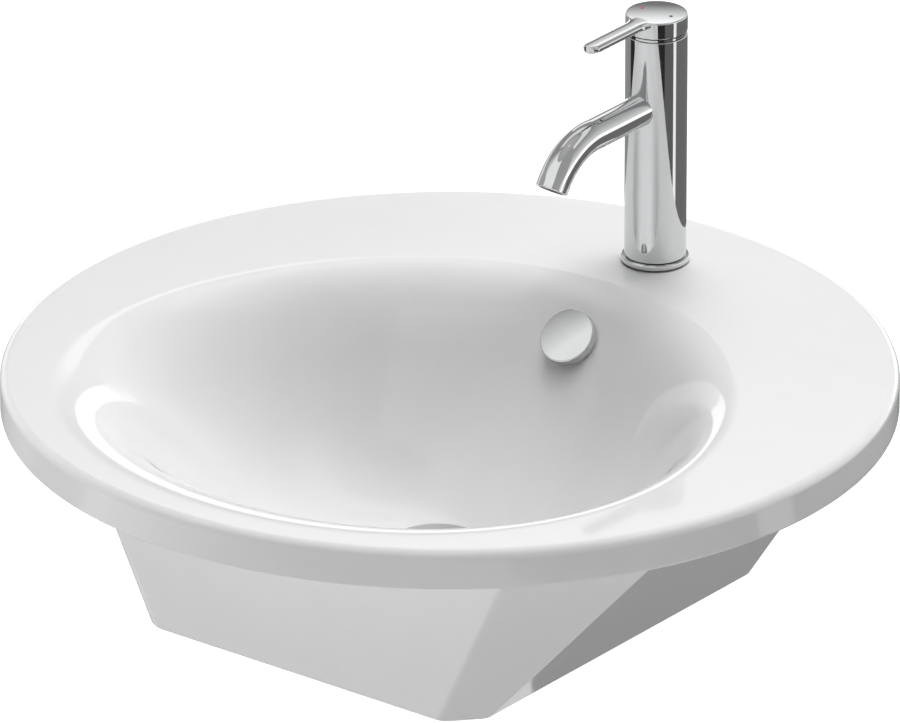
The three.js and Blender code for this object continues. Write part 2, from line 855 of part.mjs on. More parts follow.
// A straight run towards the user, a bend down in one arc, and a short straight end
const spoutStraight = spoutBendStart - spoutInset;
const spoutArc = spoutBendRadius * spoutBendAngle;
const spoutLength = spoutStraight + spoutArc + spoutTail;

// The spout's middle at a distance along it, and how far it is bent down there.
function spoutStation(along) {
  const angle = THREE.MathUtils.clamp(along - spoutStraight, 0, spoutArc) / spoutBendRadius;
  const before = Math.min(along, spoutStraight);
  const after = Math.max(along - spoutStraight - spoutArc, 0);
  return {
    forward: spoutInset + before + spoutBendRadius * Math.sin(angle) + after * Math.cos(angle),
    height: spoutHeight - spoutBendRadius * (1 - Math.cos(angle)) - after * Math.sin(angle),
    angle,
  };
}

function spout() {
  const bend = Array.from({ length: bendSteps + 1 }, (_, i) => spoutStraight + spoutArc * i / bendSteps);
  const stations = [0, ...bend, spoutLength].map(spoutStation);
  const pipe = (radius) => stations.map(({ forward, height, angle }) =>
    Array.from({ length: spoutSides }, (_, i) => {
      const turn = 2 * Math.PI * i / spoutSides;
      const up = radius * Math.cos(turn);
      return [radius * Math.sin(turn), -forward - up * Math.sin(angle), height + up * Math.cos(angle)];
    }));
  return skin([...pipe(spoutRadius), ...pipe(spoutBore).reverse()], true);
}

add('tap_base_ring', baseRing(), chrome, tap);
add('tap_base_seal', baseSeal(), blackRubber, tap);
add('tap_column', tapColumn(), chrome, tap);
add('spout', spout(), chrome, tap);

const outlet = new THREE.Group();
const spoutEnd = spoutStation(spoutLength);
outlet.position.set(0, -spoutEnd.forward, spoutEnd.height);
outlet.rotation.x = spoutBendAngle - Math.PI / 2;
tap.add(outlet);

function aeratorGrid() {
  const radius = spoutBore - aeratorWall - 2 * seatGap;
  const low = aeratorInset + aeratorGridInset;
  const grid = rod(radius, low, low + aeratorGridHeight);
  const holes = Array.from({ length: aeratorHoles + 1 }, (_, i) => {
    const hole = rod(aeratorHoleRadius, low - overrun, low + aeratorGridHeight + overrun, aeratorHoles);
    const pitch = i < aeratorHoles ? aeratorHolePitch : 0;
    const angle = 2 * Math.PI * i / aeratorHoles;
    return hole.translate(pitch * Math.cos(angle), pitch * Math.sin(angle), 0);
  });
  return cut(grid, ...holes);
}

const aeratorOuter = spoutBore - seatGap;
add('aerator_housing', ring(aeratorOuter - aeratorWall, aeratorOuter, aeratorInset,
  aeratorInset + aeratorLength, smallSides), greyPlastic, outlet);
add('aerator_grid', aeratorGrid(), whitePlastic, outlet);

// Cartridge, held in the column's head by its ring nut

const cartridgeFoot = ledgeTop + seatGap;
const cartridgeTop = cartridgeFoot + cartridgeHeight;
const carrierFoot = cartridgeTop + seatGap;
const carrierTop = carrierFoot + carrierHeight;
const jointRingFoot = columnTop + seatGap;
const jointRingTop = jointRingFoot + jointRingHeight;
const capFoot = jointRingTop + leverGap;
const capTop = capFoot + capHeight;
const pivotHeight = capFoot;

function carrier() {
  const plate = rod(carrierRadius, carrierFoot, carrierTop);
  const earTop = pivotHeight + earRise;
  const earHeight = earTop - carrierTop + seatGap;
  const ears = [-1, 1].map((side) => box(earOuter - earInner, 2 * earHalfDepth, earHeight,
    side * (earInner + earOuter) / 2, pivotBack - earHalfDepth / 2, earTop - earHeight / 2));
  return cut(joined(plate, ...ears), acrossPin(pinRadius + seatGap, earOuter + overrun));
}

// Rod along X through the lever's lift axis.
function acrossPin(radius, halfLength) {
  const pin = rod(radius, -halfLength, halfLength);
  pin.rotateY(Math.PI / 2);
  pin.translate(0, pivotBack, pivotHeight);
  return pin;
}

add('cartridge_body', turned([
  [0, cartridgeFoot], [cartridgeRadius, cartridgeFoot], [cartridgeRadius, cartridgeTop], [0, cartridgeTop],
], middleSides), greyPlastic, tap);
add('cartridge_nut', ring(cartridgeNutBore, columnBore - seatGap, cartridgeTop + seatGap,
  cartridgeTop + seatGap + cartridgeNutHeight), brass, tap);
add('joint_ring', ring(jointRingRadius - jointRingWidth, jointRingRadius, jointRingFoot, jointRingTop,
  wideSides), chrome, tap);
add('cartridge_carrier', carrier(), whitePlastic, tap);
add('pivot_pin', acrossPin(pinRadius, earOuter), steel, tap);

// Lever with its hollow cap

const ceiling = capTop - capCeiling;

function stem() {
  const top = ceiling - seatGap;
  const low = pivotHeight - stemDrop;
  const bar = box(2 * stemHalfWidth, 2 * stemHalfDepth, top - low, 0, pivotBack, (top + low) / 2);
  return cut(bar, acrossPin(pinRadius + seatGap, earOuter));
}

// Plan of the lever's bar, from the cap's middle to its rounded tip.
function leverOutline() {
  const half = leverWidth / 2;
  const rootHalf = leverRootWidth / 2;
  const shape = new THREE.Shape();
  const tip = leverReach - leverTipRadius;
  shape.moveTo(-rootHalf, 0);
  shape.lineTo(-rootHalf, -leverRootEnd);
  shape.quadraticCurveTo(-half, -leverWaist, -half, -leverNeck);
  shape.lineTo(-half, -tip);
  shape.absarc(-half + leverTipRadius, -tip, leverTipRadius, Math.PI, 1.5 * Math.PI);
  shape.absarc(half - leverTipRadius, -tip, leverTipRadius, 1.5 * Math.PI, 2 * Math.PI);
  shape.lineTo(half, -leverNeck);
  shape.quadraticCurveTo(half, -leverWaist, rootHalf, -leverRootEnd);
  shape.lineTo(rootHalf, 0);
  shape.closePath();
  return shape;
}

function leverBar() {
  const bar = new THREE.ExtrudeGeometry(leverOutline(), {
    depth: leverThickness - 2 * leverEdge, curveSegments: 4, bevelEnabled: true,
    bevelThickness: leverEdge, bevelSize: leverEdge, bevelOffset: -leverEdge, bevelSegments: 2,
  });
  bar.translate(0, 0, capTop - leverDrop - leverThickness + leverEdge);
  return bar;
}

const liftClearance = leverGap - seatGap;
const reliefBack = pivotBack + liftClearance / Math.sin(liftLimit);

// Slanted block that frees the cap's rear edge when the lever is lifted.
function liftRelief() {
  const size = 2 * columnRadius;
  const block = box(2 * size, size, size, 0, size / 2, -size / 2);
  block.rotateX(liftLimit);
  block.translate(0, reliefBack, capFoot);
  return block;
}

function leverHandle() {
  const cap = turned([
    [0, capFoot], [columnRadius - capFootFillet, capFoot],
    [columnRadius, capFoot + capFootFillet],
    ...fillet(columnRadius - capTopFillet, capTop - capTopFillet, capTopFillet, 0, Math.PI / 2),
    [0, capTop],
  ], wideSides);
  const pocket = rod(columnRadius - capWall, capFoot - overrun, ceiling, wideSides);
  const grubHole = rod(grubRadius + seatGap, pivotBack + stemHalfDepth, columnRadius + overrun);
  grubHole.rotateX(-Math.PI / 2);
  grubHole.translate(0, 0, capTop - grubDrop);
  const marks = [-1, 1].map((side) =>
    atMark(side, rod(markRadius + seatGap, -markDepth, overrun, tinySides)));
  return cut(joined(cap, leverBar()), pocket, liftRelief(), grubHole, ...marks);
}

function atMark(side, geometry) {
  geometry.translate(side * markSpacing / 2, 0, capTop);
  return geometry;
}

// Part of the grub screw's bore, between two distances behind the axis.
function inGrubBore(near, far, radius) {
  const plug = rod(radius, near, far, tinySides);
  plug.rotateX(-Math.PI / 2);
  plug.translate(0, 0, capTop - grubDrop);
  return plug;
}

const grubStart = pivotBack + stemHalfDepth + seatGap;
const grubPlugEnd = columnRadius - seatGap;
const markBody = () => rod(markRadius, seatGap - markDepth, 0, tinySides);

add('lever_handle', leverHandle(), chrome, tap);
add('cartridge_stem', stem(), brass, tap);
add('lever_grub_screw', inGrubBore(grubStart, grubStart + grubLength, grubRadius), steel, tap);
add('grub_screw_plug', inGrubBore(grubPlugEnd - grubPlugHeight, grubPlugEnd, grubRadius), greyPlastic, tap);
add('hot_mark', atMark(-1, markBody()), redInlay, tap);
add('cold_mark', atMark(1, markBody()), blueInlay, tap);

// Fixing under the deck

const deckFoot = -deckThickness;

// C-shaped plate, open towards the front for the supply pipes.
function horseshoe(top) {
  const slotCentre = -inletForward;
  const shape = new THREE.Shape();
  const openAngle = Math.asin(horseshoeSlotRadius / horseshoeRadius);
  shape.absarc(0, 0, horseshoeRadius, -Math.PI / 2 + openAngle, 1.5 * Math.PI - openAngle, false);
  shape.lineTo(-horseshoeSlotRadius, slotCentre);
  shape.absarc(0, slotCentre, horseshoeSlotRadius, Math.PI, 0, true);
  shape.closePath();
  const hole = new THREE.Path();
  hole.absarc(0, studBack, studRadius + seatGap, 0, 2 * Math.PI);
  shape.holes.push(hole);
  const plate = new THREE.ExtrudeGeometry(shape, {
    depth: horseshoeHeight, curveSegments: 8, bevelEnabled: false,
  });
  plate.translate(0, 0, top - horseshoeHeight);
  return weld(plate);
}

const washerTopHeight = deckFoot - horseshoeHeight - 2 * seatGap;
const fixingNutTop = washerTopHeight - horseshoeHeight - seatGap;
const studTop = columnFoot + studGrip;

add('horseshoe_seal', horseshoe(deckFoot - seatGap), blackRubber, tap);
add('horseshoe_washer', horseshoe(washerTopHeight), steel, tap);
const fixingNutFoot = fixingNutTop - fixingNutHeight;
const fixingNut = hexNut(fixingNutRadius, studRadius + seatGap, fixingNutFoot, fixingNutTop);
add('fixing_nut', fixingNut.translate(0, studBack, 0), brass, tap);
const stud = rod(studRadius, studTop - studLength, studTop);
add('fixing_stud', stud.translate(0, studBack, 0), steel, tap);

export default root;
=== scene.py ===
"""Round vanity basin with its mixer tap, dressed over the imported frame.

Lengths are in millimetres in the row frame, and become metres where a mesh is made.
The fine meshes follow the solids' own dimensions.
"""
import json
import math

import bmesh
import bpy
import numpy as np
from mathutils import Matrix, Vector


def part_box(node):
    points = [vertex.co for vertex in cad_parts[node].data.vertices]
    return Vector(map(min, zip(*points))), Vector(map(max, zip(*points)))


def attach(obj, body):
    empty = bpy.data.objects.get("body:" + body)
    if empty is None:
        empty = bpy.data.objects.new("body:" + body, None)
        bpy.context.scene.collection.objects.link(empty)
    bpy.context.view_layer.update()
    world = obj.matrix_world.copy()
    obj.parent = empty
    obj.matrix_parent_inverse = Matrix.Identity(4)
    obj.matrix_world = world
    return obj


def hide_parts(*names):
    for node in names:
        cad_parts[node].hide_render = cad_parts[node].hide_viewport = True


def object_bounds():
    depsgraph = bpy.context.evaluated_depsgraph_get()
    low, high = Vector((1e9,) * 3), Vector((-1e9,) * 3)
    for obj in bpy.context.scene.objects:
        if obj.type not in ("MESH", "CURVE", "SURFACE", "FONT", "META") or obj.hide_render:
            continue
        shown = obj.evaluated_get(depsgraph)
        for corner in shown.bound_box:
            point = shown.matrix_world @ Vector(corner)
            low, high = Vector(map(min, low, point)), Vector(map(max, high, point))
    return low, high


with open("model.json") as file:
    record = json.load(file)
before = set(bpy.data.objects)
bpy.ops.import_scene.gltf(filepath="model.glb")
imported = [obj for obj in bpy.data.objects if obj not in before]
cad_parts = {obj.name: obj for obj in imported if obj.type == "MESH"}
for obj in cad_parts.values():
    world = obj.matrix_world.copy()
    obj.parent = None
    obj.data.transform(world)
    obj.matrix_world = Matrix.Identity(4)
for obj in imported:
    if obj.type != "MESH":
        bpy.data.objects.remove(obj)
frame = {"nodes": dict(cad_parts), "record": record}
cad_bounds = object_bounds()
scene = bpy.context.scene

MM = 0.001


class Box:
    """A node's box in millimetres."""

    def __init__(self, node):
        low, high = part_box(node)
        self.low, self.high = low / MM, high / MM
        self.centre = (self.low + self.high) / 2
        self.size = self.high - self.low


deck_box = Box("basin_deck")
skirt_box = Box("basin_skirt")
cap_box = Box("lever_handle")
column_box = Box("tap_column")
base_box = Box("tap_base_ring")
joint_box = Box("joint_ring")
plug_box = Box("plug_cap")
waste_box = Box("waste_body")
stud_box = Box("fixing_stud")

# Camera, fitted to the photograph
CAMERA_AZIMUTH = 37.687
CAMERA_ELEVATION = 23.831
CAMERA_DISTANCE = 9299
CAMERA_LENS = 577.23
CAMERA_SENSOR = 36
CAMERA_RIGHT = 0.085
CAMERA_UP = 2.551

# Rim and deck
RIM_RADIUS = deck_box.high.y
RIM_HEIGHT = deck_box.high.z
RIM_TOP_FILLET = 6
RIM_FOOT_FILLET = 2
RIM_FOOT_WIDTH = 22
DECK_THICKNESS = 14

# Bowl
BOWL_DEPTH = 127
BOWL_EDGE_RADIUS = 196.5
BOWL_FORWARD = 44
DRAIN_FORWARD = 13.4
DRAIN_SEAT_RADIUS = 34
BOWL_WALL = 10
FRONT_LIP_DEPTH = 28
SIDE_LIP_DEPTH = 44
REAR_LIP_DEPTH = 40
SIDE_WIDEN_SHARE = 0.006
CORNER_WIDEN_SHARE = 0.09
FRONT_CURVE = 1.45
SIDE_CURVE = 2.3
REAR_CURVE = 1.27
# Shares of the wall's run at which its rings start, crowd together and end, and their least pitch
WALL_FINE_SHARE = 0.7
WALL_END_SHARE = 1.16
UNDER_START_SHARE = 0.06
UNDER_FINE_SHARE = 0.8
UNDER_END_SHARE = 1.2
RING_PITCH = 0.5

# Skirt
SKIRT_DROP = -skirt_box.low.z
SKIRT_WALL = 11
FOOT_HALF_DEPTH = 160.9
FOOT_FRONT_HALF_WIDTH = 117.2
FOOT_HALF_WIDTH = 137.2
FOOT_SIDE_HALF_DEPTH = 139.5
FRONT_SPLAY_SHARE = 0.48
FRONT_LEAN_SHARE = 0.026
SIDE_SPLAY_SHARE = 0.81
SIDE_DRAW_SHARE = 0.426
FRONT_CREASE_RADIUS = 12
SIDE_CREASE_RADIUS = 6
FOOT_EDGE_RADIUS = 3

# Holes and channels
DRAIN_BORE_RADIUS = 23
DRAIN_BOSS_RADIUS = 36
DRAIN_BOSS_DROP = 28
GALLERY_RADIUS = 28
GALLERY_TOP = 8
GALLERY_HEIGHT = 12
TAP_HOLE_RADIUS = 17.5
OVERFLOW_BACK = 130
OVERFLOW_HOLE_RADIUS = 12
DUCT_WIDTH = 32
DUCT_HEIGHT = 9
DUCT_CORNER = 3
DUCT_WALL = 4
DUCT_RISE = 13
DUCT_DEPTH = BOWL_WALL + DUCT_HEIGHT / 2
OVERRUN = 2

# Fittings
SEAT_GAP = 0.3
COVER_RADIUS = 19.2
COVER_DEPTH = 6.2
COVER_CORNER = 0.9
COVER_DOME = 1.2
COVER_WALL = 1.8
COVER_EDGE = 0.45
COVER_STANDOFF = 2.4
COVER_PEG_RADIUS = 3.2
COVER_PEG_DROP = 4
PLUG_SPIGOT_RADIUS = 15.5
PLUG_SPIGOT_DROP = 3
PLUG_EDGE = 1.5
WASTE_TUBE_RADIUS = 20.5
WASTE_TUBE_BORE = 17.5
WASTE_FLANGE_RADIUS = 32
WASTE_FLANGE_EDGE = 1.6
WASTE_FLANGE_HEIGHT = 2.4
WASTE_CONE_RADIUS = 26
WASTE_LEDGE_DROP = 43
WASTE_LEDGE_WIDTH = 1.6
WASTE_SLOT_WIDTH = 9
WASTE_THREAD_TOP = 24
WASTE_THREAD_PITCH = 2.3
WASTE_THREAD_DEPTH = 0.9
WASTE_CLEARANCE = 0.5
LOWER_SEAL_TAPER = 2.5
NUT_CHAMFER = 1.4
STUD_PITCH = 1
STUD_THREAD_DEPTH = 0.45
COLUMN_BORE = 16.5
COLUMN_HEAD = 34.9
COLUMN_CHAMFER = 0.5
BASE_FILLET = 1.2
JOINT_RING_WIDTH = 3.2
SPOUT_HEIGHT = 111
SPOUT_RADIUS = 10.75
SPOUT_BORE = 8.5
SPOUT_INSET = 15
SPOUT_BEND_START = 70.8
SPOUT_BEND_RADIUS = 47
SPOUT_TAIL = 5
SPOUT_BEND_ANGLE = math.radians(56)
SPOUT_LIP = 0.5
CAP_TOP_FILLET = 1
CAP_TOP_FILLET_END = 87
CAP_DOME = 0.35
CAP_FOOT_FILLET = 0.5
CAP_WALL = 3.4
CAP_CEILING = 3.5
PIVOT_BACK = 8
STEM_HALF_DEPTH = 4
GRUB_RADIUS = 1.7
GRUB_DROP = 4.7
LIFT_LIMIT = math.radians(20)
LEVER_GAP = 0.8
RELIEF_BACK = PIVOT_BACK + (LEVER_GAP - SEAT_GAP) / math.sin(LIFT_LIMIT)
LEVER_HALF_WIDTH = 6.25
LEVER_ROOT_HALF_WIDTH = 12
LEVER_ROOT_END = 15
LEVER_NECK = 27.5
LEVER_THICKNESS = 5
LEVER_DROP = 0.2
LEVER_TIP_RADIUS = 5.4
LEVER_TIP_ANGLES = (6, 89.9)
LEVER_POWER = 3.4
LEVER_ROOT_POWER = 2.2

# Fineness
BOWL_SECTORS = 192
WIDE_SIDES = 128
WASTE_SIDES = 96
SMALL_SIDES = 64
STUD_SIDES = 32
NUT_SIDES = 6
ARC_STEPS = 6
RIM_TOP_STEPS = 10
RIM_FOOT_STEPS = 5
PLUG_EDGE_STEPS = 10
COLUMN_EDGE_STEPS = 4
DOME_STEPS = 12
CREASE_STEPS = 10
THREAD_STEPS = 6
WALL_COARSE_RINGS = 24
WALL_FINE_RINGS = 40
UNDER_COARSE_RINGS = 16
UNDER_FINE_RINGS = 12
DUCT_RINGS = 24
SPOUT_BEND_RINGS = 40
LEVER_NECK_RINGS = 24
LEVER_TIP_RINGS = 16
SMOOTH_ANGLE = math.radians(32)
WELD_DISTANCE = 0.001

# Materials: dark and light colour, roughness range, metallic share, waves per metre, and relief
# in metres
FINISHES = {
    "glaze": ((0.855, 0.858, 0.86), (0.885, 0.887, 0.885), (0.035, 0.06), 0.0, 35, 2e-5),
    "chrome": ((0.61, 0.615, 0.62), (0.65, 0.655, 0.66), (0.04, 0.06), 1.0, 120, 2e-6),
    "brass": ((0.5, 0.34, 0.13), (0.62, 0.44, 0.18), (0.28, 0.4), 1.0, 300, 2e-5),
    "steel": ((0.38, 0.39, 0.4), (0.5, 0.51, 0.52), (0.3, 0.42), 1.0, 300, 2e-5),
    "rubber": ((0.012, 0.012, 0.012), (0.022, 0.022, 0.022), (0.7, 0.85), 0.0, 500, 5e-5),
    "white_plastic": ((0.72, 0.72, 0.7), (0.78, 0.78, 0.76), (0.35, 0.5), 0.0, 400, 3e-5),
    "grey_plastic": ((0.2, 0.21, 0.22), (0.26, 0.27, 0.28), (0.4, 0.55), 0.0, 400, 3e-5),
    "hot_inlay": ((0.5, 0.01, 0.03), (0.62, 0.02, 0.05), (0.25, 0.35), 0.0, 600, 1e-5),
    "cold_inlay": ((0.01, 0.05, 0.3), (0.02, 0.08, 0.4), (0.25, 0.35), 0.0, 600, 1e-5),
}
GLAZE_IOR = 1.52
NOISE_LOW, NOISE_HIGH = 0.3, 0.7
NOISE_DETAIL = 3

# Stage, in metres
FLOOR_DROP = 0.25
FLOOR_LEVEL = cad_bounds[0][2] - FLOOR_DROP
FLOOR_HALF = 6
FLOOR_COLOUR = 0.3
FLOOR_SEEN = 0.95
FLOOR_MIRRORED = 0.2
AMBIENT = 0
CARD_ROUGHNESS = 0.6
CARD_RISE = 0.01
FAN_STEP = 3
# Sectors round the tap, light and dark, painted reflections that only the gloss sees, by azimuth in
# degrees and reach in metres, with the glow level of each
FAN_SECTORS = (
    ("fan_left", 218, 288, 0, 3, 0.35),
    ("fan_front", 288, 428, 0, 3, 0.03),
    ("fan_right", 68, 103, 0, 3, 0.15),
    ("fan_strip_foot", 103, 115, 0, 0.9, 0.2),
    ("fan_strip", 103, 115, 0.9, 3, 1.3),
    ("fan_back", 115, 218, 0, 3, 0.2),
)
SHELL_RADIUS = 3.2
SHELL_STEP = 6
# Glowing panels round the stage that light nothing, painted reflections in the gloss of the pieces,
# by azimuth and elevation in degrees, with the glow levels at foot and top
SHELL_PANELS = (
    ("panel_low_right", 100, 180, -4, 9, 2.2, 1.6),
    ("panel_back_right", 100, 190, 9, 52, 1.0, 0.35),
    ("panel_low_left", 180, 236, -4, 14, 1.7, 1.7),
    ("panel_under_painted_softbox", 203, 235, 14, 22, 0.3, 0.25),
    ("panel_painted_softbox_foot", 203, 235, 22, 28, 0.25, 1.5),
    ("panel_painted_softbox", 203, 235, 28, 36, 1.5, 1.2),
    ("panel_above_painted_softbox", 203, 235, 36, 52, 0.38, 0.38),
    ("panel_beside_left", 190, 203, 14, 52, 0.38, 0.38),
    ("panel_beside_right", 235, 270, 14, 52, 0.38, 0.38),
    ("panel_left_middle", 270, 360, 8, 34, 0.5, 0.5),
    ("panel_left_painted_softbox", 310, 400, 34, 66, 1.15, 1.15),
    ("panel_right_middle", 0, 100, 10, 38, 0.5, 0.45),
    ("panel_right_high", 40, 100, 38, 66, 0.45, 0.45),
    ("panel_overhead", 0, 360, 66, 88, 0.45, 0.6),
)
# Glowing panels graded round the stage, painted reflections, with the glow levels at their first and
# last azimuth
TURN_PANELS = (("panel_left_turn", 270, 310, 34, 66, 0.3, 1.15),)
# Glowing patch on the floor towards the camera, a painted reflection that only the gloss sees, by
# turn from the camera's azimuth and reach
PAINTED_REFLECTION_OUTLINE = (
    (0, 0), (60, 0.5), (50, 0.9), (37, 1.17), (22, 1.25), (7, 1.32), (3, 1.5), (-10, 3),
    (-30, 3), (-50, 3), (-70, 3), (-87, 3),
)
PAINTED_REFLECTION_GLOW = 0.95
# Lamps, by azimuth and elevation in degrees, with distance, width, height and power
LAMPS = (
    ("top_panel", 0, 89.9, 4, 3, 3, 60),
    ("back_panel", 195, 58, 4, 4, 3, 150),
    ("front_panel", 6, -5, 3, 1.6, 0.8, 46),
    ("right_panel", 110, 5, 3, 1.6, 1.2, 25),
    ("left_panel", -75, -4, 3, 1.6, 0.8, 60),
)


# Mesh helpers


def arc(centre_radius, centre_height, radius, start, end, steps=ARC_STEPS):
    """Points of a profile's round edge; the angles are in degrees."""
    angles = np.radians(np.linspace(start, end, steps + 1))
    return [
        (centre_radius + radius * math.cos(a), centre_height + radius * math.sin(a)) for a in angles
    ]


def loft(rings, endless=False):
    """Points and faces of a skin over rings of equally many points."""
    count = len(rings[0])
    points = np.concatenate([np.asarray(ring, float) for ring in rings])
    rows = len(rings) if endless else len(rings) - 1
    faces = []
    for row in range(rows):
        here, there = row * count, (row + 1) % len(rings) * count
        for i in range(count):
            j = (i + 1) % count
            faces.append((here + i, here + j, there + j, there + i))
    if not endless:
        last = (len(rings) - 1) * count
        faces.append(tuple(range(count))[::-1])
        faces.append(tuple(range(last, last + count)))
    return points, faces


def turns(sides):
    """Equally spaced angles of a full turn."""
    return np.linspace(0, 2 * math.pi, sides, endpoint=False)


def circle(radius, height, sides):
    """A level ring about Z, of one radius or of one for each point."""
    angles = turns(sides)
    return np.column_stack([radius * np.cos(angles), radius * np.sin(angles), np.full(sides, height)])


def lathe(profile, sides=WIDE_SIDES):
    """A solid of revolution about Z from (radius, height) pairs."""
    on_axis = profile[0][0] == 0 and profile[-1][0] == 0
    return loft([circle(radius, height, sides) for radius, height in profile], endless=not on_axis)


def rod(radius, low, high, sides=SMALL_SIDES):
    """A cylinder about Z."""
    return lathe([(0, low), (radius, low), (radius, high), (0, high)], sides)


def block(width, depth, low, high):
    """A box about Z."""
    corners = [(-1, -1), (1, -1), (1, 1), (-1, 1)]
    return loft([[(x * width / 2, y * depth / 2, z) for x, y in corners] for z in (low, high)])


def solid(name, shape, matrix=None):
    """An object of a closed mesh, with its normals outwards."""
    points, faces = shape
    mesh = bpy.data.meshes.new(name)
    mesh.from_pydata([tuple(p) for p in points * MM], [], faces)
    bm = bmesh.new()
    bm.from_mesh(mesh)
    bmesh.ops.remove_doubles(bm, verts=bm.verts, dist=WELD_DISTANCE * MM)
    bmesh.ops.dissolve_degenerate(bm, edges=bm.edges, dist=WELD_DISTANCE * MM)
    bmesh.ops.recalc_face_normals(bm, faces=bm.faces)
    bm.to_mesh(mesh)
    bm.free()
    if matrix:
        mesh.transform(matrix)
    obj = bpy.data.objects.new(name, mesh)
    scene.collection.objects.link(obj)
    return obj


def combine(base, operation, *tools):
    """Joins each tool to the base, cuts it out of the base or keeps what they share."""
    for tool in tools:
        step = base.modifiers.new("combine", "BOOLEAN")
        step.operation = operation
        step.solver = "MANIFOLD"
        step.object = tool
        graph = bpy.context.evaluated_depsgraph_get()
        mesh = bpy.data.meshes.new_from_object(base.evaluated_get(graph))
        base.modifiers.remove(step)
        base.data = mesh
        bpy.data.objects.remove(tool)
    return base


def dress(obj, body, slot, *nodes):
    """Finishes a piece: shading, material, body, and the nodes that it stands for."""
    for face in obj.data.polygons:
        face.use_smooth = True
    obj.data.set_sharp_from_angle(angle=SMOOTH_ANGLE)
    even = obj.modifiers.new("even_normals", "WEIGHTED_NORMAL")
    even.keep_sharp = True
    obj.data.materials.clear()
    obj.data.materials.append(materials[slot])
    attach(obj, body)
    if nodes:
        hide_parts(*nodes)
    return obj


def shifted(x, y, z):
    """The matrix of a shift in millimetres."""
    return Matrix.Translation(Vector((x, y, z)) * MM)


# Materials


def new_material(name, colour, roughness, metallic=0.0):
    """A material of one colour, with its node tree and its shader."""
    material = bpy.data.materials.new(name)
    material.use_nodes = True
    shader = material.node_tree.nodes["Principled BSDF"]
    shader.inputs["Base Color"].default_value = (*colour, 1)
    shader.inputs["Roughness"].default_value = roughness
    shader.inputs["Metallic"].default_value = metallic
    return material, material.node_tree, shader


def noise(tree, scale):
    """Noise in the object's own coordinates, with scale in waves per metre."""
    place = tree.nodes.new("ShaderNodeTexCoord")
    texture = tree.nodes.new("ShaderNodeTexNoise")
    texture.inputs["Scale"].default_value = scale
    texture.inputs["Detail"].default_value = NOISE_DETAIL
    tree.links.new(place.outputs["Object"], texture.inputs["Vector"])
    return texture.outputs["Fac"]


def map_range(tree, source, first, last, first_level, last_level):
    """Maps a value from its limits to levels."""
    node = tree.nodes.new("ShaderNodeMapRange")
    for label, value in (
        ("From Min", first), ("From Max", last), ("To Min", first_level), ("To Max", last_level),
    ):
        node.inputs[label].default_value = value
    tree.links.new(source, node.inputs["Value"])
    return node.outputs["Result"]


def tint(tree, source, dark, light):
    """A colour between two, by a noise value."""
    node = tree.nodes.new("ShaderNodeMix")
    node.data_type = "RGBA"
    # The node has one pair of sockets for each data type, and only indices tell them apart
    node.inputs[6].default_value = (*dark, 1)
    node.inputs[7].default_value = (*light, 1)
    tree.links.new(source, node.inputs[0])
    return node.outputs[2]


def bump(tree, shader, source, height):
    """Relief of a height in metres."""
    node = tree.nodes.new("ShaderNodeBump")
    node.inputs["Distance"].default_value = height
    tree.links.new(source, node.inputs["Height"])
    tree.links.new(node.outputs["Normal"], shader.inputs["Normal"])


def finish(name, dark, light, rough, metallic, grain, relief):
    """A material with a fine colour change, uneven gloss and a slight relief."""
    material, tree, shader = new_material(name, light, rough[0], metallic)
    value = noise(tree, grain)
    tree.links.new(tint(tree, value, dark, light), shader.inputs["Base Color"])
    gloss = map_range(tree, value, NOISE_LOW, NOISE_HIGH, *rough)
    tree.links.new(gloss, shader.inputs["Roughness"])
    bump(tree, shader, noise(tree, grain), relief)
    if name == "glaze":
        shader.inputs["IOR"].default_value = GLAZE_IOR
    return material


materials = {name: finish(name, *values) for name, values in FINISHES.items()}

slots = {part["node"]: part["material_slot"] for part in frame["record"]["subparts"]}
for node, obj in frame["nodes"].items():
    obj.data.materials.clear()
    obj.data.materials.append(materials[slots[node]])

# Bowl surface


def around_bowl(angle, front, side, rear):
    """A value that changes smoothly from the front by the sides to the rear."""
    mean = (front + rear) / 2
    return mean + (rear - front) / 2 * np.sin(angle) + (side - mean) * np.cos(angle) ** 2


def edge_distance(angle):
    """Distance from the drain's axis to the bowl's edge circle."""
    offset = BOWL_FORWARD - DRAIN_FORWARD
    along = offset * np.sin(angle)
    reach = -along + np.sqrt(along**2 + BOWL_EDGE_RADIUS**2 - offset**2)
    widening = SIDE_WIDEN_SHARE - CORNER_WIDEN_SHARE * np.sin(angle)
    return reach * (1 + widening * np.cos(angle) ** 2)


def circle_distance(angle, radius):
    """Distance from the drain's axis to a circle about the rim's centre."""
    along = DRAIN_FORWARD * np.sin(angle)
    return along + np.sqrt(along**2 + radius**2 - DRAIN_FORWARD**2)


def bowl_height(angle, distance, thickness=0, deck_drop=0):
    """Height of a surface that follows the deck and falls into the bowl."""
    curve = around_bowl(angle, FRONT_CURVE, SIDE_CURVE, REAR_CURVE)
    lip = around_bowl(angle, FRONT_LIP_DEPTH, SIDE_LIP_DEPTH, REAR_LIP_DEPTH)
    run = edge_distance(angle) + thickness - DRAIN_SEAT_RADIUS
    share = np.maximum(distance - DRAIN_SEAT_RADIUS, 0) / run
    wall = BOWL_DEPTH * (share**curve - 1) - thickness + deck_drop
    # A smooth least value of the wall's height and the deck's
    blend = np.maximum(lip - np.abs(wall), 0) / lip
    return RIM_HEIGHT - deck_drop + np.minimum(wall, 0) - blend**2 * lip / 4


def from_drain(angle, distance, height):
    """Points at distances from the drain's axis."""
    return np.column_stack(
        [distance * np.cos(angle), distance * np.sin(angle) - DRAIN_FORWARD, height + 0 * angle]
    )


sectors = turns(BOWL_SECTORS)


def flat_ring(radius, height):
    """A level ring about the drain's axis."""
    return from_drain(sectors, radius, height)


def rim_ring(radius, height):
    """A level ring about the rim's centre, with its points in line with the drain's rings."""
    return from_drain(sectors, circle_distance(sectors, radius), height)


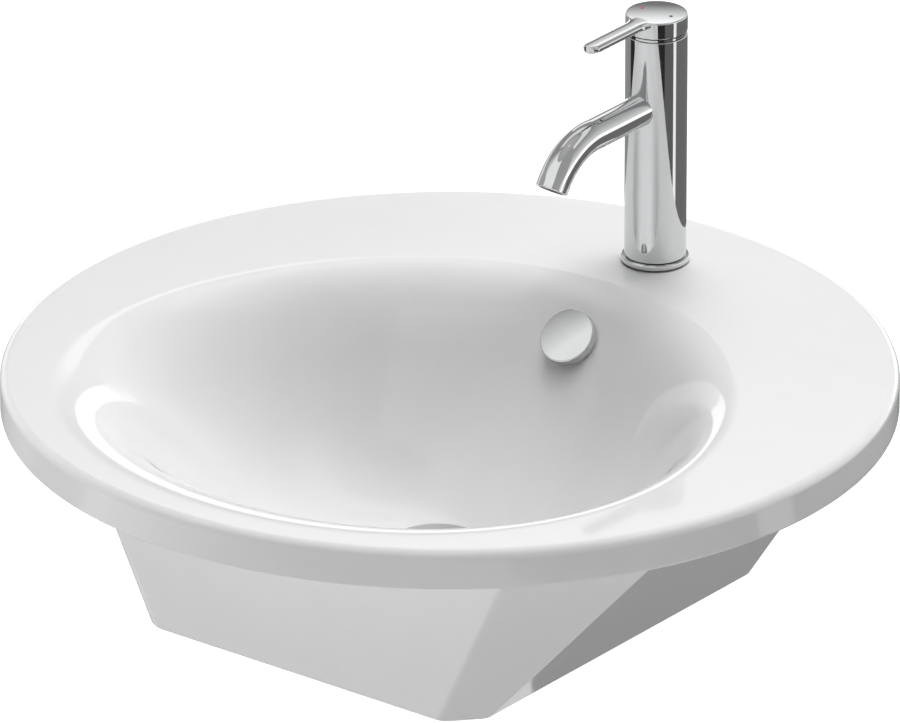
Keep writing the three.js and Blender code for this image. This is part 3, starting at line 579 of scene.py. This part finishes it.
def bowl_rings(shares, thickness, deck_drop, outer_radius):
    """Rings on the bowl's surface, kept inside a circle about the rim's centre."""
    rings = []
    for i, share in enumerate(shares):
        run = edge_distance(sectors) + thickness - DRAIN_SEAT_RADIUS
        limit = circle_distance(sectors, outer_radius) - RING_PITCH * (len(shares) - i)
        distance = np.minimum(DRAIN_SEAT_RADIUS + run * share, limit)
        height = bowl_height(sectors, distance, thickness, deck_drop)
        rings.append(from_drain(sectors, distance, height))
    return rings


SEAT_HEIGHT = RIM_HEIGHT - BOWL_DEPTH
wall_shares = np.concatenate([
    np.linspace(0, WALL_FINE_SHARE, WALL_COARSE_RINGS, endpoint=False),
    np.linspace(WALL_FINE_SHARE, WALL_END_SHARE, WALL_FINE_RINGS),
])
under_shares = np.concatenate([
    np.linspace(UNDER_START_SHARE, UNDER_FINE_SHARE, UNDER_COARSE_RINGS, endpoint=False),
    np.linspace(UNDER_FINE_SHARE, UNDER_END_SHARE, UNDER_FINE_RINGS),
])


def bowl_shell():
    """The deck, the rim and the bowl, with the drain's boss and the gallery in it."""
    rim_flat = RIM_RADIUS - RIM_TOP_FILLET
    foot_inner = RIM_RADIUS - RIM_FOOT_WIDTH
    foot_flat = RIM_RADIUS - RIM_FOOT_FILLET
    edge = arc(rim_flat, RIM_HEIGHT - RIM_TOP_FILLET, RIM_TOP_FILLET, 90, 0, RIM_TOP_STEPS)
    edge += arc(foot_flat, RIM_FOOT_FILLET, RIM_FOOT_FILLET, 0, -90, RIM_FOOT_STEPS)
    boss_foot = SEAT_HEIGHT - DRAIN_BOSS_DROP
    gallery_top = SEAT_HEIGHT - GALLERY_TOP
    gallery_foot = gallery_top - GALLERY_HEIGHT
    return loft([
        flat_ring(DRAIN_BORE_RADIUS, SEAT_HEIGHT),
        *bowl_rings(wall_shares, 0, 0, rim_flat),
        *[rim_ring(radius, height) for radius, height in edge],
        rim_ring(foot_inner, 0),
        rim_ring(foot_inner, RIM_HEIGHT - DECK_THICKNESS),
        *bowl_rings(under_shares, BOWL_WALL, DECK_THICKNESS, foot_inner)[::-1],
        flat_ring(DRAIN_BOSS_RADIUS, SEAT_HEIGHT - BOWL_WALL),
        flat_ring(DRAIN_BOSS_RADIUS, boss_foot),
        flat_ring(DRAIN_BORE_RADIUS, boss_foot),
        flat_ring(DRAIN_BORE_RADIUS, gallery_foot),
        flat_ring(GALLERY_RADIUS, gallery_foot),
        flat_ring(GALLERY_RADIUS, gallery_top),
        flat_ring(DRAIN_BORE_RADIUS, gallery_top),
    ], endless=True)


def over_shell():
    """Everything over the middle of the shell."""
    outer = RIM_RADIUS + OVERRUN
    return loft([
        *bowl_rings(wall_shares, BOWL_WALL / 2, DECK_THICKNESS / 2, RIM_RADIUS - RIM_FOOT_WIDTH),
        rim_ring(outer, RIM_HEIGHT - DECK_THICKNESS / 2),
        rim_ring(outer, RIM_HEIGHT + SKIRT_DROP),
    ])


# Skirt


def skirt_corners(rise):
    """Corners of the skirt at a height over its foot, counter-clockwise."""
    front_x = FOOT_FRONT_HALF_WIDTH + FRONT_SPLAY_SHARE * rise
    front_y = FOOT_HALF_DEPTH + FRONT_LEAN_SHARE * rise
    side_x = FOOT_HALF_WIDTH + SIDE_SPLAY_SHARE * rise
    side_y = FOOT_SIDE_HALF_DEPTH - SIDE_DRAW_SHARE * rise
    return np.array([
        (side_x, -side_y), (side_x, side_y), (front_x, front_y), (-front_x, front_y),
        (-side_x, side_y), (-side_x, -side_y), (-front_x, -front_y), (front_x, -front_y),
    ])


def unit(vector):
    """The vector at length one."""
    return vector / np.linalg.norm(vector)


def with_neighbours(corners):
    """Each corner of an outline between the one before it and the one after."""
    return zip(np.roll(corners, 1, 0), corners, np.roll(corners, -1, 0))


def inset(corners, distance):
    """Moves every side of a convex outline inwards."""
    moved = []
    for before, corner, after in with_neighbours(corners):
        arriving, leaving = unit(corner - before), unit(after - corner)
        inward = np.array([-arriving[1], arriving[0]])
        bisector = unit(inward + np.array([-leaving[1], leaving[0]]))
        moved.append(corner + bisector * distance / bisector.dot(inward))
    return np.array(moved)


def rounded(corners, radii):
    """Rounds the corners of an outline, each with its own radius."""
    outline = []
    for (before, corner, after), radius in zip(with_neighbours(corners), radii):
        to_before, to_after = unit(before - corner), unit(after - corner)
        half = math.acos(to_before.dot(to_after)) / 2
        centre = corner + unit(to_before + to_after) * radius / math.sin(half)
        start = corner + to_before * radius / math.tan(half) - centre
        end = corner + to_after * radius / math.tan(half) - centre
        sweep = math.atan2(start[0] * end[1] - start[1] * end[0], start.dot(end))
        for angle in np.linspace(0, sweep, CREASE_STEPS + 1):
            c, s = math.cos(angle), math.sin(angle)
            outline.append(centre + (start[0] * c - start[1] * s, start[0] * s + start[1] * c))
    return np.array(outline)


crease_radii = [SIDE_CREASE_RADIUS, SIDE_CREASE_RADIUS, FRONT_CREASE_RADIUS, FRONT_CREASE_RADIUS] * 2


def skirt_ring(rise, depth):
    """The skirt's outline at a height over its foot, moved inwards by a depth."""
    outline = rounded(inset(skirt_corners(rise), depth), crease_radii)
    return np.column_stack([outline, np.full(len(outline), rise - SKIRT_DROP)])


def skirt():
    """The hollow skirt, cut off under the bowl and the deck."""
    top = SKIRT_DROP + RIM_HEIGHT
    edge = [
        skirt_ring(FOOT_EDGE_RADIUS + height, FOOT_EDGE_RADIUS - radius)
        for radius, height in arc(0, 0, FOOT_EDGE_RADIUS, -90, 0)
    ]
    outside = solid("skirt_outside", loft([*edge, skirt_ring(top, 0)]))
    inside = solid("skirt_inside", loft([
        skirt_ring(-OVERRUN, SKIRT_WALL), skirt_ring(top + OVERRUN, SKIRT_WALL),
    ]))
    return combine(outside, "DIFFERENCE", inside, solid("over_shell", over_shell()))


# Overflow


def rear_wall(behind):
    """Height of the bowl's rear wall at a distance behind the rim's centre."""
    return float(bowl_height(np.array([math.pi / 2]), behind + DRAIN_FORWARD)[0])


def wall_lean(behind):
    """Slope of the bowl's rear wall, as an angle."""
    rise = rear_wall(behind + SEAT_GAP) - rear_wall(behind - SEAT_GAP)
    return math.atan2(rise, 2 * SEAT_GAP)


overflow_lean = wall_lean(OVERFLOW_BACK)
overflow_place = (
    shifted(0, OVERFLOW_BACK, rear_wall(OVERFLOW_BACK)) @ Matrix.Rotation(overflow_lean, 4, "X")
)


def duct(extra, width, height, corner):
    """Channel behind the bowl's rear wall, from the overflow hole down to the gallery."""
    high = OVERFLOW_BACK + DUCT_RISE + extra
    low = DRAIN_BOSS_RADIUS - DRAIN_FORWARD + DUCT_WIDTH / 2
    path = []
    for behind in np.linspace(high, low, DUCT_RINGS):
        lean = wall_lean(behind)
        depth = DUCT_DEPTH * np.array([math.sin(lean), -math.cos(lean)])
        path.append((behind, rear_wall(behind)) + depth)
    gallery_middle = SEAT_HEIGHT - GALLERY_TOP - GALLERY_HEIGHT / 2
    path.append((DRAIN_BORE_RADIUS - DRAIN_FORWARD + OVERRUN, gallery_middle))
    path = np.array(path)
    half_width, half_height = width / 2, height / 2
    section = rounded(np.array([
        (half_width, -half_height), (half_width, half_height),
        (-half_width, half_height), (-half_width, -half_height),
    ]), [corner] * 4)
    rings = []
    for (y, z), slope in zip(path, np.gradient(path, axis=0)):
        across = unit(np.array([-slope[1], slope[0]]))
        rings.append([(x, y + h * across[0], z + h * across[1]) for x, h in section])
    return loft(rings)


CASTING = ("basin_bowl", "basin_deck", "basin_skirt", "basin_channel")


def basin():
    """The casting: shell, skirt and overflow channel, with the tap's and overflow's holes."""
    body = solid("basin_glazed", bowl_shell())
    boss_radius = (GALLERY_RADIUS + DRAIN_BOSS_RADIUS) / 2
    boss_foot = SEAT_HEIGHT - DRAIN_BOSS_DROP - OVERRUN
    boss = solid("boss", rod(boss_radius, boss_foot, SEAT_HEIGHT), shifted(0, -DRAIN_FORWARD, 0))
    walls = 2 * DUCT_WALL
    cover = solid("duct_cover", duct(
        DUCT_WALL, DUCT_WIDTH + walls, DUCT_HEIGHT + walls, DUCT_CORNER + DUCT_WALL
    ))
    combine(cover, "DIFFERENCE", solid("over_shell", over_shell()), boss)
    combine(body, "UNION", skirt(), cover)
    overflow_hole = rod(OVERFLOW_HOLE_RADIUS, -DUCT_DEPTH, COVER_STANDOFF)
    overflow_cut = solid("overflow_hole", overflow_hole, overflow_place)
    tap_hole = rod(TAP_HOLE_RADIUS, -OVERRUN, RIM_HEIGHT + OVERRUN)
    tap_cut = solid("tap_hole", tap_hole, shifted(0, column_box.centre.y, 0))
    channel = solid("duct", duct(0, DUCT_WIDTH, DUCT_HEIGHT, DUCT_CORNER))
    combine(body, "DIFFERENCE", channel, overflow_cut, tap_cut)
    return dress(body, "basin", "glaze", *CASTING)


basin()

# Overflow cover and plug


def dome(radius, foot, height):
    """Points of a shallow dome, from inside its edge to its middle."""
    sphere = (radius**2 + height**2) / (2 * height)
    outs = np.linspace(radius, 0, DOME_STEPS + 1)[1:]
    return [(out, foot + height - sphere + math.sqrt(sphere**2 - out**2)) for out in outs]


def overflow_cover():
    """Hollow disc with a shallow dome, on the peg that holds it."""
    face = COVER_STANDOFF + COVER_DEPTH
    ceiling = face - COVER_WALL
    flat, inner = COVER_RADIUS - COVER_CORNER, COVER_RADIUS - COVER_WALL
    profile = [
        (0, -COVER_PEG_DROP), (COVER_PEG_RADIUS, -COVER_PEG_DROP), (COVER_PEG_RADIUS, ceiling),
        (inner, ceiling), (inner, COVER_STANDOFF),
        *arc(COVER_RADIUS - COVER_EDGE, COVER_STANDOFF + COVER_EDGE, COVER_EDGE, -90, 0),
        *arc(flat, face - COVER_CORNER, COVER_CORNER, 0, 90),
        *dome(flat, face, COVER_DOME),
    ]
    dress(solid("overflow_disc", lathe(profile), overflow_place), "basin", "chrome", "overflow_cover")


def plug():
    """Domed plug with a rounded edge, on its spigot."""
    foot = plug_box.low.z + PLUG_SPIGOT_DROP
    radius = plug_box.high.x
    edge = PLUG_EDGE / 2
    profile = [
        (0, plug_box.low.z), (PLUG_SPIGOT_RADIUS, plug_box.low.z), (PLUG_SPIGOT_RADIUS, foot),
        *arc(radius - edge, foot + edge, edge, -90, 90, PLUG_EDGE_STEPS),
        *dome(radius - edge, foot + PLUG_EDGE, plug_box.high.z - foot - PLUG_EDGE),
    ]
    place = shifted(0, plug_box.centre.y, 0)
    dress(solid("plug_dome", lathe(profile), place), "plug", "chrome", "plug_cap")


overflow_cover()
plug()

# Waste and its nut

on_drain = shifted(0, -DRAIN_FORWARD, 0)


def thread(radius, low, high, pitch, depth, sides):
    """Rings of a screw thread from low to high, with plain ends."""
    heights = np.linspace(low, high, int((high - low) / pitch * THREAD_STEPS) + 1)
    rings = []
    for height in heights:
        threads = height / pitch - turns(sides) / (2 * math.pi)
        groove = np.abs(2 * (threads % 1) - 1)
        fade = np.clip(min(height - low, high - height) / pitch, 0, 1)
        rings.append(circle(radius - depth * (1 - fade * groove), height, sides))
    return rings


def waste():
    """Waste tube with its flange, ledge, overflow slots and thread."""
    foot = waste_box.low.z
    thread_top = SEAT_HEIGHT - WASTE_THREAD_TOP
    flange_top = waste_box.high.z
    flange_foot = flange_top - WASTE_FLANGE_HEIGHT
    ledge = SEAT_HEIGHT - WASTE_LEDGE_DROP
    bore, narrow = WASTE_TUBE_BORE, WASTE_TUBE_BORE - WASTE_LEDGE_WIDTH
    rounds = [
        (WASTE_TUBE_RADIUS, thread_top + WASTE_THREAD_PITCH), (WASTE_TUBE_RADIUS, flange_foot),
        (WASTE_FLANGE_RADIUS, flange_foot), (WASTE_FLANGE_RADIUS, flange_foot + WASTE_FLANGE_EDGE),
        (WASTE_CONE_RADIUS, flange_top), (bore, flange_foot - WASTE_FLANGE_HEIGHT), (bore, ledge),
        (narrow, ledge), (narrow, ledge - WASTE_LEDGE_WIDTH), (bore, ledge - WASTE_LEDGE_WIDTH),
        (bore, foot),
    ]
    rings = thread(
        WASTE_TUBE_RADIUS, foot, thread_top, WASTE_THREAD_PITCH, WASTE_THREAD_DEPTH, WASTE_SIDES
    )
    rings += [circle(radius, height, WASTE_SIDES) for radius, height in rounds]
    tube = solid("waste_tube", loft(rings, endless=True), on_drain)
    reach = 2 * (WASTE_TUBE_RADIUS + OVERRUN)
    top = SEAT_HEIGHT - GALLERY_TOP
    slots = [
        solid("slot", block(reach, WASTE_SLOT_WIDTH, top - GALLERY_HEIGHT, top), on_drain),
        solid("slot", block(WASTE_SLOT_WIDTH, reach, top - GALLERY_HEIGHT, top), on_drain),
    ]
    dress(combine(tube, "DIFFERENCE", *slots), "basin", "chrome", "waste_body")


def nut(name, node, bore, place):
    """Hexagonal nut with turned corners."""
    box = Box(node)
    low, high, radius = box.low.z, box.high.z, max(box.size.x, box.size.y) / 2
    turned = solid(name, lathe([
        (bore, low), (radius - NUT_CHAMFER, low), (radius, low + NUT_CHAMFER / 2),
        (radius, high - NUT_CHAMFER / 2), (radius - NUT_CHAMFER, high), (bore, high),
    ], WASTE_SIDES), place)
    # Swapping x and y turns two corners of the hexagon to the front and the back
    ends = (low - OVERRUN, high + OVERRUN)
    hexagon = loft([circle(radius, height, NUT_SIDES)[:, [1, 0, 2]] for height in ends])
    combine(turned, "INTERSECT", solid("hexagon", hexagon, place))
    dress(turned, "basin", "brass", node)


def washer(name, node, slot, bore, taper=0.0):
    """Round washer or seal under the drain's boss."""
    box = Box(node)
    radius, low, high = box.high.x, box.low.z, box.high.z
    profile = [
        (bore, low), (radius, low), (radius, high - taper),
        (radius - 2 * taper, high), (bore, high),
    ]
    dress(solid(name, lathe(profile, WASTE_SIDES), on_drain), "basin", slot, node)


waste()
tube_fit = WASTE_TUBE_RADIUS + WASTE_CLEARANCE
washer("waste_gasket", "waste_lower_seal", "rubber", tube_fit, LOWER_SEAL_TAPER)
washer("waste_slip_ring", "waste_washer", "white_plastic", tube_fit)
nut("waste_ring_nut", "waste_nut", tube_fit, on_drain)

# Tap

TAP_BACK = column_box.centre.y
on_tap = shifted(0, TAP_BACK, 0)


def tap_base():
    """Ring between the column and the deck."""
    radius, low, high = base_box.high.x, base_box.low.z, base_box.high.z
    profile = [
        (COLUMN_BORE, low), (radius - SEAT_GAP, low), (radius, low + SEAT_GAP),
        *arc(radius - BASE_FILLET, high - BASE_FILLET, BASE_FILLET, 0, 90), (COLUMN_BORE, high),
    ]
    dress(solid("base_plate", lathe(profile), on_tap), "basin", "chrome", "tap_base_ring")


def tap_column():
    """Upright tube with a closed bottom and a bore for the cartridge."""
    radius, low, high = column_box.high.x, column_box.low.z, column_box.high.z
    ledge = high - COLUMN_HEAD
    edge = COLUMN_CHAMFER
    profile = [
        (0, low), (radius - edge, low), (radius, low + edge),
        *arc(radius - edge, high - edge, edge, 0, 90, COLUMN_EDGE_STEPS), (COLUMN_BORE, high),
        (COLUMN_BORE, ledge), (0, ledge),
    ]
    dress(solid("column_tube", lathe(profile), on_tap), "basin", "chrome", "tap_column")


def spout():
    """Pipe that runs level out of the column and bends down to its outlet."""
    straight = SPOUT_BEND_START - SPOUT_INSET
    bend = SPOUT_BEND_RADIUS * SPOUT_BEND_ANGLE
    length = straight + bend + SPOUT_TAIL
    height = SPOUT_HEIGHT + RIM_HEIGHT
    bent = np.linspace(straight, straight + bend, SPOUT_BEND_RINGS)
    stations = np.concatenate([[0], bent, [length - SPOUT_LIP, length]])
    angles = turns(SMALL_SIDES)

    def pipe(radius):
        """Rings of one radius along the spout's line."""
        rings = []
        for along in stations:
            angle = min(max(along - straight, 0), bend) / SPOUT_BEND_RADIUS
            before, after = min(along, straight), max(along - straight - bend, 0)
            forward = before + SPOUT_BEND_RADIUS * math.sin(angle) + after * math.cos(angle)
            drop = SPOUT_BEND_RADIUS * (1 - math.cos(angle)) + after * math.sin(angle)
            outward = radius - (SPOUT_LIP if along == length and radius == SPOUT_RADIUS else 0)
            above = outward * np.cos(angles)
            rings.append(np.column_stack([
                outward * np.sin(angles),
                TAP_BACK - (SPOUT_INSET + forward) - above * math.sin(angle),
                height - drop + above * math.cos(angle),
            ]))
        return rings

    shape = loft([*pipe(SPOUT_RADIUS), *pipe(SPOUT_BORE)[::-1]], endless=True)
    dress(solid("spout_pipe", shape), "basin", "chrome", "spout")


def joint():
    """Thin ring under the lever's cap."""
    radius, low, high = joint_box.high.x, joint_box.low.z, joint_box.high.z
    inner = radius - JOINT_RING_WIDTH
    profile = [(inner, low), (radius, low), (radius, high), (inner, high)]
    dress(solid("joint_band", lathe(profile), on_tap), "basin", "chrome", "joint_ring")


def lever_bar(top):
    """Bar from inside the cap to its rounded tip, with a slightly crowned section."""
    tip = TAP_BACK - cap_box.low.y
    round_start = tip - LEVER_TIP_RADIUS
    tip_angles = np.radians(np.linspace(*LEVER_TIP_ANGLES, LEVER_TIP_RINGS))
    stations = np.concatenate([
        np.linspace(LEVER_ROOT_END, LEVER_NECK, LEVER_NECK_RINGS), [round_start],
        round_start + LEVER_TIP_RADIUS * np.sin(tip_angles),
    ])
    angles = turns(SMALL_SIDES)
    power = 2 / LEVER_POWER
    c = np.sign(np.cos(angles)) * np.abs(np.cos(angles)) ** power
    s = np.sign(np.sin(angles)) * np.abs(np.sin(angles)) ** power
    middle = top - LEVER_DROP - LEVER_THICKNESS / 2
    rings = []
    for y in stations:
        share = min(max((LEVER_NECK - y) / (LEVER_NECK - LEVER_ROOT_END), 0), 1)
        flare = share**LEVER_ROOT_POWER
        half = LEVER_HALF_WIDTH + (LEVER_ROOT_HALF_WIDTH - LEVER_HALF_WIDTH) * flare
        past = max(y - round_start, 0)
        half -= LEVER_TIP_RADIUS - math.sqrt(max(LEVER_TIP_RADIUS**2 - past**2, 0))
        rings.append(np.column_stack([
            half * c, np.full(len(angles), TAP_BACK - y), middle + LEVER_THICKNESS / 2 * s,
        ]))
    return loft(rings)


def lever():
    """Cap and bar in one, hollow below, cut away at the rear to lift, and bored for its screw."""
    radius, low, high = cap_box.high.x, cap_box.low.z, cap_box.high.z
    foot_flat, top_flat = radius - CAP_FOOT_FILLET, radius - CAP_TOP_FILLET
    outside = [
        (0, low), *arc(foot_flat, low + CAP_FOOT_FILLET, CAP_FOOT_FILLET, -90, 0),
        *arc(top_flat, high - CAP_DOME - CAP_TOP_FILLET, CAP_TOP_FILLET, 0, CAP_TOP_FILLET_END),
        *dome(top_flat, high - CAP_DOME, CAP_DOME),
    ]
    cap = solid("lever_cap", lathe(outside), on_tap)
    combine(cap, "UNION", solid("bar", lever_bar(high)))
    pocket = solid("pocket", rod(radius - CAP_WALL, low - OVERRUN, high - CAP_CEILING), on_tap)
    reach = 2 * radius
    place = shifted(0, TAP_BACK + RELIEF_BACK, low) @ Matrix.Rotation(LIFT_LIMIT, 4, "X")
    relief = solid("relief", block(2 * reach, reach, -reach, 0), place @ shifted(0, reach / 2, 0))
    along = shifted(0, TAP_BACK, high - GRUB_DROP) @ Matrix.Rotation(-math.pi / 2, 4, "X")
    bore = rod(GRUB_RADIUS + SEAT_GAP, PIVOT_BACK + STEM_HALF_DEPTH, radius + OVERRUN)
    combine(cap, "DIFFERENCE", pocket, relief, solid("bore", bore, along))
    dress(cap, "lever", "chrome", "lever_handle")


def mark(node, slot):
    """Coloured dot on the cap."""
    box = Box(node)
    radius = box.size.y / 2
    profile = [(0, box.low.z), (radius, box.low.z), (radius, box.high.z), (0, box.high.z)]
    place = shifted(box.centre.x, box.centre.y, 0)
    dress(solid(f"{node}_dot", lathe(profile, SMALL_SIDES), place), "lever", slot, node)


def fixing():
    """Threaded stud and its nut under the deck."""
    radius = stud_box.high.x
    place = shifted(0, stud_box.centre.y, 0)
    low, high = stud_box.low.z, stud_box.high.z
    rings = thread(radius, low, high, STUD_PITCH, STUD_THREAD_DEPTH, STUD_SIDES)
    dress(solid("stud_thread", loft(rings), place), "basin", "steel", "fixing_stud")
    nut("stud_nut", "fixing_nut", radius + SEAT_GAP, place)


tap_base()
fixing()
tap_column()
spout()
joint()
lever()
mark("hot_mark", "hot_inlay")
mark("cold_mark", "cold_inlay")


# Camera


def direction(azimuth, elevation):
    """Unit vector from the object towards a viewer at those angles in degrees."""
    a, e = math.radians(azimuth), math.radians(elevation)
    return Vector((math.sin(a) * math.cos(e), -math.cos(a) * math.cos(e), math.sin(e)))


back = direction(CAMERA_AZIMUTH, CAMERA_ELEVATION)
right = Vector((0, 0, 1)).cross(back).normalized()
up = back.cross(right)
camera_data = bpy.data.cameras.new("photo_camera")
camera_data.sensor_width = CAMERA_SENSOR
camera_data.lens = CAMERA_LENS
camera_data.clip_end = 2 * CAMERA_DISTANCE * MM
camera = bpy.data.objects.new("photo_camera", camera_data)
scene.collection.objects.link(camera)
eye = Vector((0, 0, RIM_HEIGHT)) + back * CAMERA_DISTANCE + right * CAMERA_RIGHT + up * CAMERA_UP
turn = Matrix((right, up, back)).transposed()
camera.matrix_world = Matrix.Translation(eye * MM) @ turn.to_4x4()
scene.camera = camera
scene.view_settings.view_transform = "Standard"

# Floor, world, cards and lamps


def seen_rays(tree, names):
    """1 on rays of the named kinds, and 0 on the others."""
    path = tree.nodes.new("ShaderNodeLightPath")
    total = path.outputs[names[0]]
    for name in names[1:]:
        node = tree.nodes.new("ShaderNodeMath")
        node.operation = "MAXIMUM"
        tree.links.new(total, node.inputs[0])
        tree.links.new(path.outputs[name], node.inputs[1])
        total = node.outputs[0]
    return total


def card(name, corners, colour, glow=0.0, faces=None):
    """A stage piece in metres, of one face unless its faces are given."""
    mesh = bpy.data.meshes.new(name)
    mesh.from_pydata(corners, [], faces or [tuple(range(len(corners)))])
    obj = bpy.data.objects.new(name, mesh)
    scene.collection.objects.link(obj)
    material, tree, shader = new_material(name, (colour, colour, colour), CARD_ROUGHNESS)
    shader.inputs["Specular IOR Level"].default_value = 0
    shader.inputs["Emission Color"].default_value = (1, 1, 1, 1)
    shader.inputs["Emission Strength"].default_value = glow
    mesh.materials.append(material)
    return obj, tree, shader


def mirrored_only(obj):
    """Keeps a card out of the picture, the shadows and the soft light."""
    obj.visible_camera = False
    obj.visible_shadow = False
    obj.visible_diffuse = False


def stage_floor():
    """Pale floor with its own level for the camera and for the gloss of the pieces."""
    corners = [(-1, -1), (1, -1), (1, 1), (-1, 1)]
    floor, tree, shader = card(
        "floor", [(x * FLOOR_HALF, y * FLOOR_HALF, FLOOR_LEVEL) for x, y in corners], FLOOR_COLOUR
    )
    mirrored = map_range(
        tree, seen_rays(tree, ["Is Glossy Ray", "Is Transmission Ray"]), 0, 1, 0, FLOOR_MIRRORED
    )
    seen = map_range(tree, seen_rays(tree, ["Is Camera Ray"]), 0, 1, 0, FLOOR_SEEN)
    total = tree.nodes.new("ShaderNodeMath")
    total.operation = "ADD"
    tree.links.new(mirrored, total.inputs[0])
    tree.links.new(seen, total.inputs[1])
    tree.links.new(total.outputs[0], shader.inputs["Emission Strength"])


def floor_fan():
    """Glowing and dark sectors on the floor that only the gloss of the pieces sees, as painted
    reflections.
    """
    middle = Vector((0, TAP_BACK * MM, FLOOR_LEVEL + CARD_RISE))
    for name, start, end, inner, outer, glow in FAN_SECTORS:
        angles = np.linspace(start, end, round((end - start) / FAN_STEP) + 1)
        near = [middle + direction(a, 0) * inner for a in (angles[::-1] if inner else angles[:1])]
        far = [middle + direction(a, 0) * outer for a in angles]
        # Each sector glows at its level and lights nothing: a painted reflection, dark where the
        # level is low
        mirrored_only(card(name, [*near, *far], 0, glow)[0])


def painted_reflection_patch():
    """Glowing patch on the fan, a painted reflection that the column shows above the basin's own
    image.
    """
    middle = Vector((0, TAP_BACK * MM, FLOOR_LEVEL + 2 * CARD_RISE))
    corners = [middle + direction(CAMERA_AZIMUTH + a, 0) * reach for a, reach in PAINTED_REFLECTION_OUTLINE]
    # The card glows and lights nothing: a painted reflection in the column's chrome
    mirrored_only(card("painted_reflection_patch", corners, 0, PAINTED_REFLECTION_GLOW)[0])


def shell_panel(name, start, end, low, high):
    """A glowing panel round the stage, a painted reflection that only the gloss of the pieces sees,
    and its coordinates.
    """
    across = np.linspace(start, end, round((end - start) / SHELL_STEP) + 1)
    up = np.linspace(low, high, round((high - low) / SHELL_STEP) + 1)
    points = [direction(a, e) * SHELL_RADIUS for e in up for a in across]
    wide = len(across)
    faces = [
        (k, k + 1, k + wide + 1, k + wide)
        for row in range(len(up) - 1) for k in range(row * wide, row * wide + wide - 1)
    ]
    obj, tree, shader = card(name, points, 0, 1, faces)
    place = tree.nodes.new("ShaderNodeTexCoord")
    split = tree.nodes.new("ShaderNodeSeparateXYZ")
    tree.links.new(place.outputs["Object"], split.inputs["Vector"])
    mirrored_only(obj)
    return tree, shader, split.outputs


def shell_panels():
    """Graded glowing panels round the stage, painted reflections, by height and by turn."""
    for name, start, end, low, high, *levels in SHELL_PANELS:
        tree, shader, place = shell_panel(name, start, end, low, high)
        limits = [direction(start, e).z * SHELL_RADIUS for e in (low, high)]
        # The glow lights nothing and shows only in the gloss of the pieces: painted reflection
        glow = map_range(tree, place["Z"], *limits, *levels)
        tree.links.new(glow, shader.inputs["Emission Strength"])
    for name, start, end, low, high, *levels in TURN_PANELS:
        tree, shader, place = shell_panel(name, start, end, low, high)
        # The angle from the +Y axis over +X falls as the azimuth grows
        turn = tree.nodes.new("ShaderNodeMath")
        turn.operation = "ARCTAN2"
        tree.links.new(place["X"], turn.inputs[0])
        tree.links.new(place["Y"], turn.inputs[1])
        limits = [math.atan2(direction(a, 0).x, direction(a, 0).y) for a in (start, end)]
        glow = map_range(tree, turn.outputs["Value"], *limits, *levels)
        tree.links.new(glow, shader.inputs["Emission Strength"])


def set_world():
    """White where a ray shows it, and no light on the pieces."""
    scene.world = bpy.data.worlds.new("studio")
    scene.world.use_nodes = True
    tree = scene.world.node_tree
    background = tree.nodes["Background"]
    background.inputs["Color"].default_value = (1, 1, 1, 1)
    seen = seen_rays(tree, ["Is Camera Ray", "Is Glossy Ray", "Is Transmission Ray"])
    tree.links.new(map_range(tree, seen, 0, 1, AMBIENT, 1), background.inputs["Strength"])


def lamp(name, azimuth, elevation, distance, width, height, power):
    """A soft panel that looks at the basin from those angles in degrees."""
    data = bpy.data.lights.new(name, "AREA")
    data.shape = "RECTANGLE"
    data.size, data.size_y, data.energy = width, height, power
    obj = bpy.data.objects.new(name, data)
    obj.visible_glossy = False
    scene.collection.objects.link(obj)
    towards = direction(azimuth, elevation)
    obj.location = towards * distance
    obj.rotation_euler = towards.to_track_quat("Z", "Y").to_euler()


stage_floor()
floor_fan()
painted_reflection_patch()
shell_panels()
set_world()
for values in LAMPS:
    lamp(*values)
